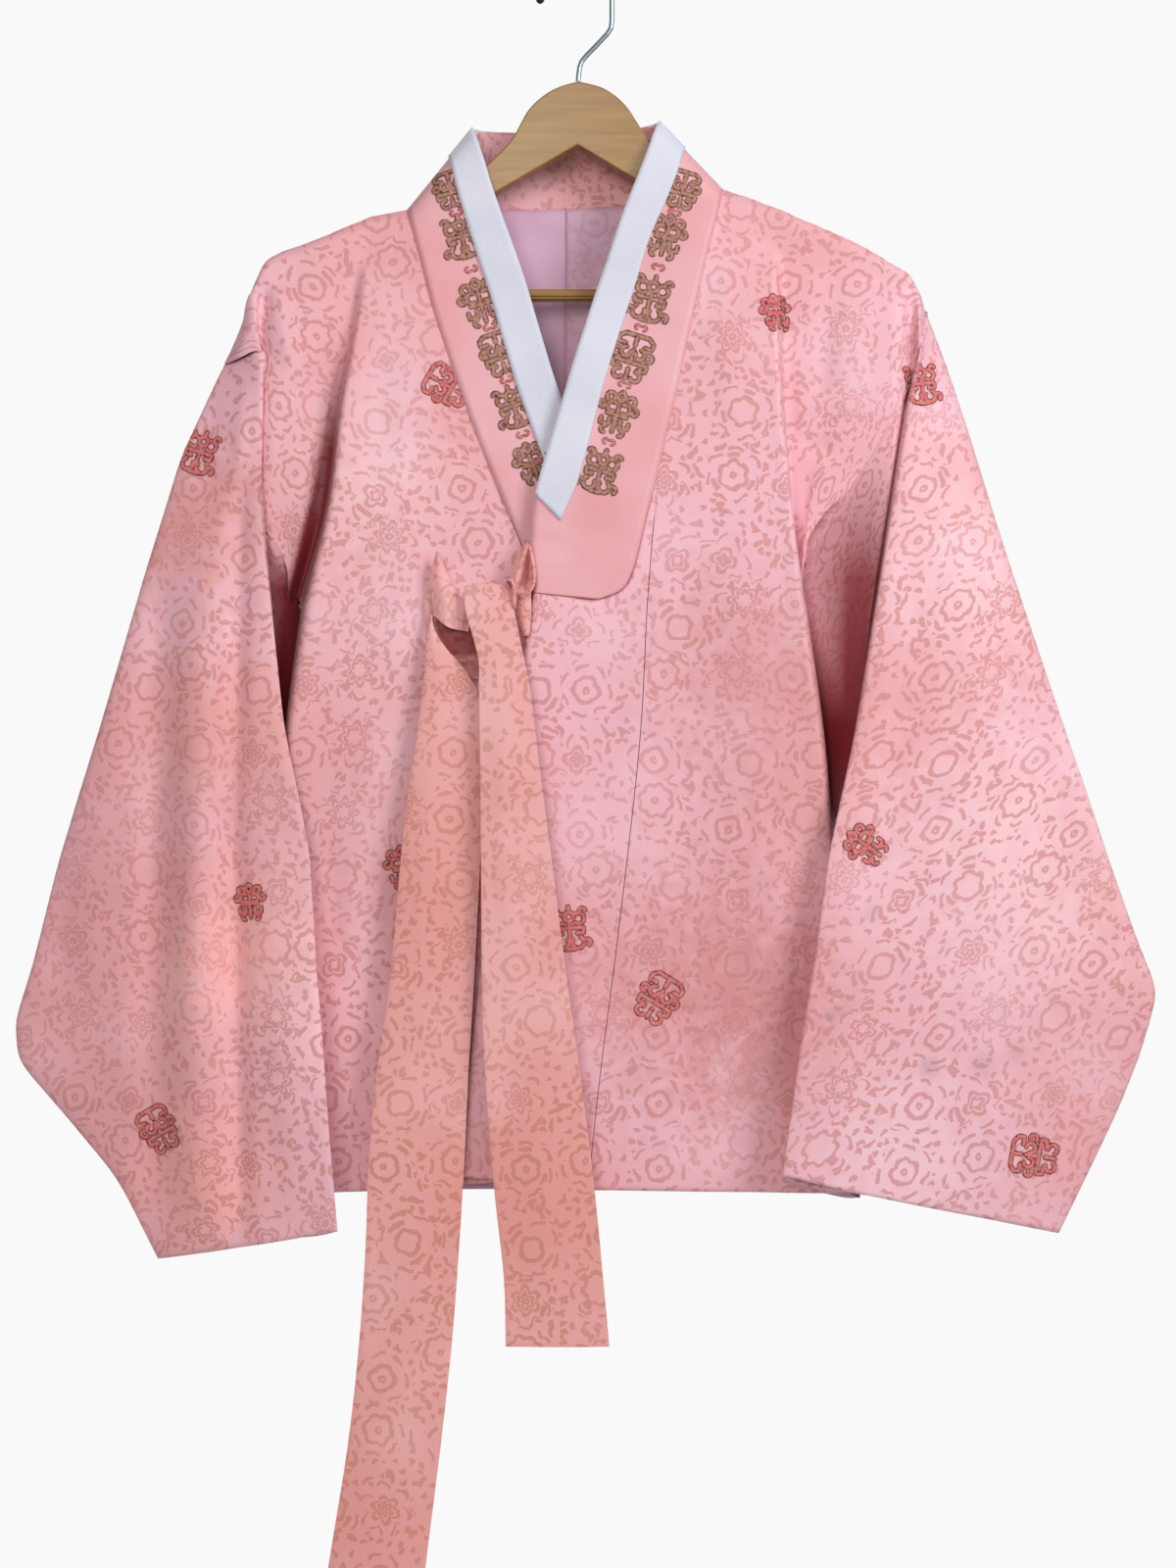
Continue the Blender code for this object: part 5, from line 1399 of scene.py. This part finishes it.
def lay_stroke(bm, points, place, half_width, lift, surface, direction):
    """Lays one stroke on the cloth as a thin band with round ends, lifted off the cloth."""
    x, z, size, turn = place
    c, s = math.cos(math.radians(turn)), math.sin(math.radians(turn))
    flat = np.array([(x + size * (px * c - pz * s), z + size * (px * s + pz * c)) for px, pz in points])
    heading = np.gradient(flat, axis=0)
    heading /= np.maximum(np.linalg.norm(heading, axis=1, keepdims=True), 1e-9)
    first, last = flat[0] - heading[0] * half_width * 0.8, flat[-1] + heading[-1] * half_width * 0.8
    flat = np.vstack([first, flat, last])
    heading = np.vstack([heading[0], heading, heading[-1]])
    widths = np.full(len(flat), half_width)
    widths[0] = widths[-1] = half_width * 0.45
    previous = None
    for point, ahead, width in zip(flat, heading, widths):
        aside = np.array([-ahead[1], ahead[0]]) * width
        pair = []
        for at in (point + aside, point - aside):
            hit, normal, _, _ = surface.ray_cast(Vector((at[0] * MM, -0.3 * direction, at[1] * MM)),
                                                 Vector((0, direction, 0)))
            if hit is None:
                pair = None
                break
            if normal.y * direction > 0:
                normal = -normal
            pair.append(hit + normal * lift * MM)
        if pair is not None and previous is not None:
            jump = max((pair[k] - previous[k]).length for k in (0, 1))
            if jump < 6 * MM:
                corners = [bm.verts.new(p) for p in (previous[0], previous[1], pair[1], pair[0])]
                bm.faces.new(corners)
        previous = pair


def surface_of(names):
    """One tree of the front layers to lay ornaments on, seen along Y."""
    graph = bpy.context.evaluated_depsgraph_get()
    verts, faces = [], []
    for name in names:
        evaluated = bpy.data.objects[name].evaluated_get(graph)
        mesh = evaluated.to_mesh()
        start = len(verts)
        verts += [v.co.copy() for v in mesh.vertices]
        faces += [[start + k for k in face.vertices] for face in mesh.polygons]
        evaluated.to_mesh_clear()
    return BVHTree.FromPolygons(verts, faces)


def make_ornaments(name, places, designs, look, half_width, lift, surface, direction):
    """All ornaments of one layer as one piece."""
    bm = bmesh.new()
    for x, z, size, turn, which in places:
        for stroke in designs[which]:
            for mirrored in ((False, True) if stroke[-1] else (False,)):
                lay_stroke(bm, stroke_points(stroke, mirrored), (x, z, size, turn), half_width, lift,
                           surface, direction)
    bmesh.ops.remove_doubles(bm, verts=bm.verts[:], dist=1e-6)
    bm.normal_update()
    for face in bm.faces:
        if face.normal.y * direction > 0:
            face.normal_flip()
        face.smooth = True
    piece_of(bm, name, (look,))


def make_wood(looks):
    """The hanger's flat arch and arms: an outline given its depth, with rounded edges."""
    top, _ = chord_curve(np.array([[(x, -WOOD_HALF_DEPTH, z) for x, z in WOOD_TOP]]), 3.0)
    outline = list(top[0]) + [(x, -WOOD_HALF_DEPTH, z) for x, z in WOOD_UNDERSIDE]
    bpy.ops.object.select_all(action="DESELECT")
    bpy.ops.mesh.primitive_circle_add(vertices=len(outline), radius=0.1, fill_type="NGON", location=(0, 0, 0))
    wood = bpy.context.object
    wood.name = "hanger_arch"
    for vertex, place in zip(wood.data.vertices, outline):
        vertex.co = Vector(place) * MM
    bpy.ops.object.mode_set(mode="EDIT")
    bpy.ops.mesh.select_all(action="SELECT")
    bpy.ops.mesh.extrude_region_move(TRANSFORM_OT_translate={"value": (0, 2 * WOOD_HALF_DEPTH * MM, 0)})
    bpy.ops.mesh.select_all(action="SELECT")
    bpy.ops.mesh.normals_make_consistent(inside=False)
    bpy.ops.object.mode_set(mode="OBJECT")
    wood.data.materials.append(looks["wood"])
    # The second finish, a darker copy of the wood, is painted shade for faces turned downwards.
    wood.data.materials.append(looks["wood_underside_shade"])
    for face in wood.data.polygons:
        face.use_smooth = True
        face.material_index = int(face.normal.z < -0.3)
    edges = wood.modifiers.new("rounded_edges", "BEVEL")
    edges.width = 1.3 * MM
    edges.segments = 4
    edges.limit_method = "ANGLE"
    edges.angle_limit = math.radians(40)
    edges.harden_normals = True
    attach(wood, BODY)
    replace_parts(wood, "hanger_wood")


def make_grooves(looks):
    """Dark grooves along the front of the hanger's bar."""
    for name, (y, z) in zip(("groove_upper", "groove_lower"), BAR_GROOVES):
        bpy.ops.object.select_all(action="DESELECT")
        bpy.ops.mesh.primitive_cylinder_add(
            vertices=12, radius=0.35 * MM, depth=BAR_GROOVE_LENGTH * MM, location=(0.005, y * MM, z * MM),
            rotation=(0, math.radians(90), 0))
        bpy.ops.object.transform_apply(location=True, rotation=True, scale=True)
        groove = bpy.context.object
        groove.name = name
        groove.data.materials.append(looks["groove"])
        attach(groove, BODY)


def dress_hanger(looks):
    """The bar, wire and ball keep their shape and get their finishes."""
    for node, look in (("hanger_bar", "wood"), ("hanger_hook", "steel"), ("hook_ball", "ball")):
        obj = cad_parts[node]
        for material_slot in obj.material_slots:
            material_slot.material = looks[look]
        for face in obj.data.polygons:
            face.use_smooth = True


def area_light(name, place, target, size, power, tint):
    data = bpy.data.lights.new(name, "AREA")
    data.shape = "RECTANGLE"
    data.size, data.size_y = size
    data.energy = power
    data.color = colour(tint)[:3]
    obj = bpy.data.objects.new(name, data)
    bpy.context.scene.collection.objects.link(obj)
    obj.location = place
    obj.rotation_euler = (Vector(target) - Vector(place)).to_track_quat("-Z", "Y").to_euler()


def make_world(brightness, backdrop):
    """A pale surround: brightness is what it gives the object, backdrop what the camera sees."""
    world = bpy.data.worlds.new("pale_studio")
    world.use_nodes = True
    tree = world.node_tree
    tree.nodes.clear()
    seen = add(tree, "ShaderNodeLightPath", out="Is Camera Ray")
    light = add(tree, "ShaderNodeBackground", {"Color": colour("#FFFFFF"), "Strength": brightness})
    paper = add(tree, "ShaderNodeBackground", {"Color": colour("#FFFFFF"), "Strength": backdrop})
    mixed = add(tree, "ShaderNodeMixShader", {0: seen, 1: light, 2: paper})
    add(tree, "ShaderNodeOutputWorld", {"Surface": mixed})
    bpy.context.scene.world = world


def make_floor(drop, radius):
    """A round pale floor well below the hem."""
    bpy.ops.object.select_all(action="DESELECT")
    bpy.ops.mesh.primitive_circle_add(vertices=96, radius=radius, fill_type="NGON", location=(0, 0, drop))
    floor = bpy.context.object
    floor.name = "floor"
    material, tree = new_material("matt_painted_floor")
    body = add(tree, "ShaderNodeTexCoord", out="Object")
    grain = add(tree, "ShaderNodeTexNoise", {"Vector": body, "Scale": 30.0, "Detail": 3.0})
    share = add(tree, "ShaderNodeMapRange", {0: grain, 3: 0.0, 4: 0.3})
    mixed = add(tree, "ShaderNodeMix", {0: share, 6: colour("#F4F4F4"), 7: colour("#EDEDED")}, out=2,
                data_type="RGBA")
    shader = add(tree, "ShaderNodeBsdfPrincipled", {"Base Color": mixed, "Roughness": 0.9})
    add(tree, "ShaderNodeOutputMaterial", {"Surface": shader})
    floor.data.materials.append(material)


class JacketSizes(bpy.types.PropertyGroup):
    """What a user would change about the jacket and its stage."""

    rosette_pitch: bpy.props.FloatProperty(
        name="Rosette pitch", description="Distance between the damask's rosettes", default=0.042,
        min=0.01, max=0.2, unit="LENGTH")
    ground: bpy.props.FloatVectorProperty(
        name="Ground", description="The silk's satin ground", subtype="COLOR", size=4, min=0, max=1,
        default=colour("#ECB6C3"))
    warm: bpy.props.FloatVectorProperty(
        name="Warm ground", description="The ground where it turns to salmon", subtype="COLOR", size=4,
        min=0, max=1, default=colour("#E6A6AB"))
    # Pale lilac laid on random patches of the ground as a painted sheen.
    pale: bpy.props.FloatVectorProperty(
        name="Pale ground", description="The ground where it turns to lilac", subtype="COLOR", size=4,
        min=0, max=1, default=colour("#F2C6D4"))
    figure: bpy.props.FloatVectorProperty(
        name="Figure", description="The tan woven figure", subtype="COLOR", size=4, min=0, max=1,
        default=colour("#C98380"))
    wood_colour: bpy.props.FloatVectorProperty(
        name="Wood", description="The hanger's pale wood", subtype="COLOR", size=4, min=0, max=1,
        default=colour("#A17D45"))
    steel_colour: bpy.props.FloatVectorProperty(
        name="Steel", description="The hook's chrome", subtype="COLOR", size=4, min=0, max=1,
        default=colour("#AEBBC3"))
    camera_distance: bpy.props.FloatProperty(
        name="Camera distance", description="From the hanger's plane to the camera", default=1.5,
        min=0.5, max=6.0, unit="LENGTH")
    view_height: bpy.props.FloatProperty(
        name="View height", description="Height of what the camera takes in at the hanger", default=0.984,
        min=0.2, max=4.0, unit="LENGTH")
    surround: bpy.props.FloatProperty(
        name="Surround", description="How brightly the pale surround lights the jacket", default=0.24,
        min=0.0, max=4.0)
    softbox_power: bpy.props.FloatProperty(
        name="Softbox power", description="Power of the main light", default=21.0, min=0.0, max=500.0,
        unit="POWER")


LOOKS = {}


class JEOGORI_OT_fronts(bpy.types.Operator):
    """Makes both fronts and the outer and inner overlaps"""

    bl_idname = "jeogori.fronts"
    bl_label = "Fronts and overlaps"

    def execute(self, context):
        right = make_front("panel_front_right", FRONT_RIGHT_UPPER, FRONT_RIGHT_LOWER, right_neck,
                           RIGHT_FOLD_TOP, LOOKS)
        left = make_front("panel_front_left", FRONT_LEFT_UPPER, FRONT_LEFT_LOWER, left_neck,
                          LEFT_FOLD_TOP, LOOKS)
        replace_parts(right, "front_right")
        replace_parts(left, "front_left")
        make_overlaps(LOOKS)
        return {"FINISHED"}


class JEOGORI_OT_backs(bpy.types.Operator):
    """Makes both backs and the lining that the neck shows"""

    bl_idname = "jeogori.backs"
    bl_label = "Backs and lining"

    def execute(self, context):
        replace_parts(make_back("panel_back_right", BACK_RIGHT_UPPER, BACK_RIGHT_LOWER, LOOKS), "back_right")
        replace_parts(make_back("panel_back_left", BACK_LEFT_UPPER, BACK_LEFT_LOWER, LOOKS), "back_left")
        make_linings(LOOKS)
        return {"FINISHED"}


class JEOGORI_OT_sleeves(bpy.types.Operator):
    """Makes both sleeves, all round"""

    bl_idname = "jeogori.sleeves"
    bl_label = "Sleeves"

    def execute(self, context):
        right = make_sleeve("arm_right", SLEEVE_RIGHT, FRONT_RIGHT_UPPER, BACK_RIGHT_UPPER,
                            SLEEVE_RIGHT_FOLDS, 14.0, RIGHT_SLEEVE_DEEPENING, LOOKS)
        left = make_sleeve("arm_left", SLEEVE_LEFT, FRONT_LEFT_UPPER, BACK_LEFT_UPPER,
                           SLEEVE_LEFT_FOLDS, 17.0, LEFT_SLEEVE_DEEPENING, LOOKS)
        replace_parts(right, "sleeve_right")
        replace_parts(left, "sleeve_left")
        return {"FINISHED"}


class JEOGORI_OT_collar(bpy.types.Operator):
    """Makes the collar and the stiff white band along its neck edge"""

    bl_idname = "jeogori.collar"
    bl_label = "Collar and white band"

    def execute(self, context):
        make_collars(LOOKS)
        make_white_band("right", COLLAR_RIGHT[:9], (0, -1, 0.1), LOOKS)
        make_white_band("left", COLLAR_LEFT[:10], (0, -1, 0.1), LOOKS, tip=WHITE_BAND_TIP)
        make_white_band("back", COLLAR_BACK, (0, 1, 0.1), LOOKS, clear=1.0)
        return {"FINISHED"}


class JEOGORI_OT_ribbons(bpy.types.Operator):
    """Makes the two ribbons and their half knot"""

    bl_idname = "jeogori.ribbons"
    bl_label = "Ribbons and knot"

    def execute(self, context):
        make_ribbon("tail_right", "ribbon_right_tail", RIGHT_TAIL, LOOKS, folds=RIBBON_FOLDS)
        make_ribbon("tail_left", "ribbon_left_tail", LEFT_TAIL, LOOKS, columns=27, folds=RIBBON_FOLDS,
                    seed=35.0, top_bow=TAIL_TOP_BOW)
        for name, node, leaf in (
            ("root_right", "ribbon_right_root", RIGHT_ROOT), ("turn_right", None, RIGHT_TURN),
            ("root_left", "ribbon_left_root", LEFT_ROOT), ("roll_left", "knot_roll", KNOT_ROLL),
        ):
            make_leaf(name, node, leaf, LOOKS)
        for side, table in (("right", RIGHT_LOOP), ("left", LEFT_LOOP)):
            make_ribbon("loop_" + side, "knot_loop_" + side, table, LOOKS, count=16, columns=7)
        return {"FINISHED"}


class JEOGORI_OT_ornaments(bpy.types.Operator):
    """Lays the scattered red ornaments and the collar's column of gold ones on the cloth"""

    bl_idname = "jeogori.ornaments"
    bl_label = "Ornaments"

    def execute(self, context):
        shown = surface_of(("panel_front_right", "panel_front_left", "overlap_over", "arm_right", "arm_left"))
        behind = surface_of(("panel_back_right", "panel_back_left", "arm_right", "arm_left"))
        band = surface_of(("neckband_right", "neckband_left"))
        commas = []
        for column, turned in ((COLLAR_PLACES[:6], 180), (COLLAR_PLACES[6:], 0)):
            for (x0, z0, _, turn, _), (x1, z1, _, _, _) in zip(column, column[1:]):
                commas.append(((x0 + x1) / 2, (z0 + z1) / 2, 6.0, turn + turned, 0))
        layers = (
            ("ornament_edges", RED_PLACES, ORNAMENTS, "red_edge", 1.7, 0.2, shown, 1),
            ("ornament_fills", RED_PLACES, ORNAMENTS, "red", 0.9, 0.35, shown, 1),
            ("back_ornament_edges", BACK_PLACES, ORNAMENTS, "red_edge", 1.5, 0.2, behind, -1),
            ("back_ornament_fills", BACK_PLACES, ORNAMENTS, "red", 0.95, 0.35, behind, -1),
            ("collar_ornament_edges", COLLAR_PLACES, ORNAMENTS, "gold_edge", 1.75, 0.2, band, 1),
            ("collar_ornament_fills", COLLAR_PLACES, ORNAMENTS, "gold", 0.85, 0.35, band, 1),
            ("collar_comma_edges", commas, (COMMA_SCROLLS,), "gold_edge", 0.9, 0.2, band, 1),
            ("collar_comma_fills", commas, (COMMA_SCROLLS,), "red", 0.45, 0.35, band, 1),
        )
        for name, places, designs, look, half_width, lift, surface, direction in layers:
            make_ornaments(name, places, designs, LOOKS[look], half_width, lift, surface, direction)
        return {"FINISHED"}


class JEOGORI_OT_hanger(bpy.types.Operator):
    """Makes the hanger's wood and gives the bar, wire and ball their finishes"""

    bl_idname = "jeogori.hanger"
    bl_label = "Hanger"

    def execute(self, context):
        make_wood(LOOKS)
        make_grooves(LOOKS)
        dress_hanger(LOOKS)
        return {"FINISHED"}


class JEOGORI_OT_stage(bpy.types.Operator):
    """Makes the pale floor, the soft studio light and the camera"""

    bl_idname = "jeogori.stage"
    bl_label = "Stage"

    def execute(self, context):
        sizes = context.scene.jeogori
        make_world(sizes.surround, 0.95)
        make_floor(CAD_LOW.z - 0.3, 0.8)
        for name, place, target, size, share, tint in (
            ("softbox_right", (1.25, -1.15, 0.35), (0.05, 0, -0.4), (0.8, 1.1), 1.0, "#FFFFFF"),
            ("softbox_front", (-0.35, -1.9, 0.1), (-0.05, 0, -0.5), (0.8, 1.2), 0.8, "#FFF6F0"),
            ("softbox_back", (0.2, 1.6, 0.3), (0, 0, -0.5), (1.4, 1.4), 1.0, "#FFFFFF"),
        ):
            area_light(name, place, target, size, share * sizes.softbox_power, tint)
        data = bpy.data.cameras.new("camera")
        data.sensor_fit = "VERTICAL"
        data.sensor_height = 36.0
        data.lens = 36.0 * sizes.camera_distance / sizes.view_height
        camera = bpy.data.objects.new("camera", data)
        context.scene.collection.objects.link(camera)
        camera.location = (VIEW_CENTRE[0], -sizes.camera_distance, VIEW_CENTRE[1])
        camera.rotation_euler = (math.radians(90), 0, 0)
        context.scene.camera = camera
        context.scene.view_settings.view_transform = "Standard"
        return {"FINISHED"}


OPERATORS = (
    JEOGORI_OT_fronts, JEOGORI_OT_backs, JEOGORI_OT_sleeves, JEOGORI_OT_collar, JEOGORI_OT_ribbons,
    JEOGORI_OT_ornaments, JEOGORI_OT_hanger, JEOGORI_OT_stage,
)


class JEOGORI_PT_panel(bpy.types.Panel):
    """Lists the jacket's steps and sizes"""

    bl_idname = "JEOGORI_PT_panel"
    bl_label = "Jeogori"
    bl_space_type = "VIEW_3D"
    bl_region_type = "UI"
    bl_category = "Jeogori"

    def draw(self, context):
        sizes = context.scene.jeogori
        for name in sizes.__annotations__:
            self.layout.prop(sizes, name)
        for operator in OPERATORS:
            self.layout.operator(operator.bl_idname)


def register():
    for cls in (JacketSizes, *OPERATORS, JEOGORI_PT_panel):
        bpy.utils.register_class(cls)
    bpy.types.Scene.jeogori = bpy.props.PointerProperty(type=JacketSizes)


def unregister():
    del bpy.types.Scene.jeogori
    for cls in (JEOGORI_PT_panel, *reversed(OPERATORS), JacketSizes):
        bpy.utils.unregister_class(cls)


def main():
    register()
    LOOKS.update(make_looks(bpy.context.scene.jeogori))
    for operator in OPERATORS:
        group, name = operator.bl_idname.split(".")
        getattr(getattr(bpy.ops, group), name)()


if __name__ == "__main__":
    main()
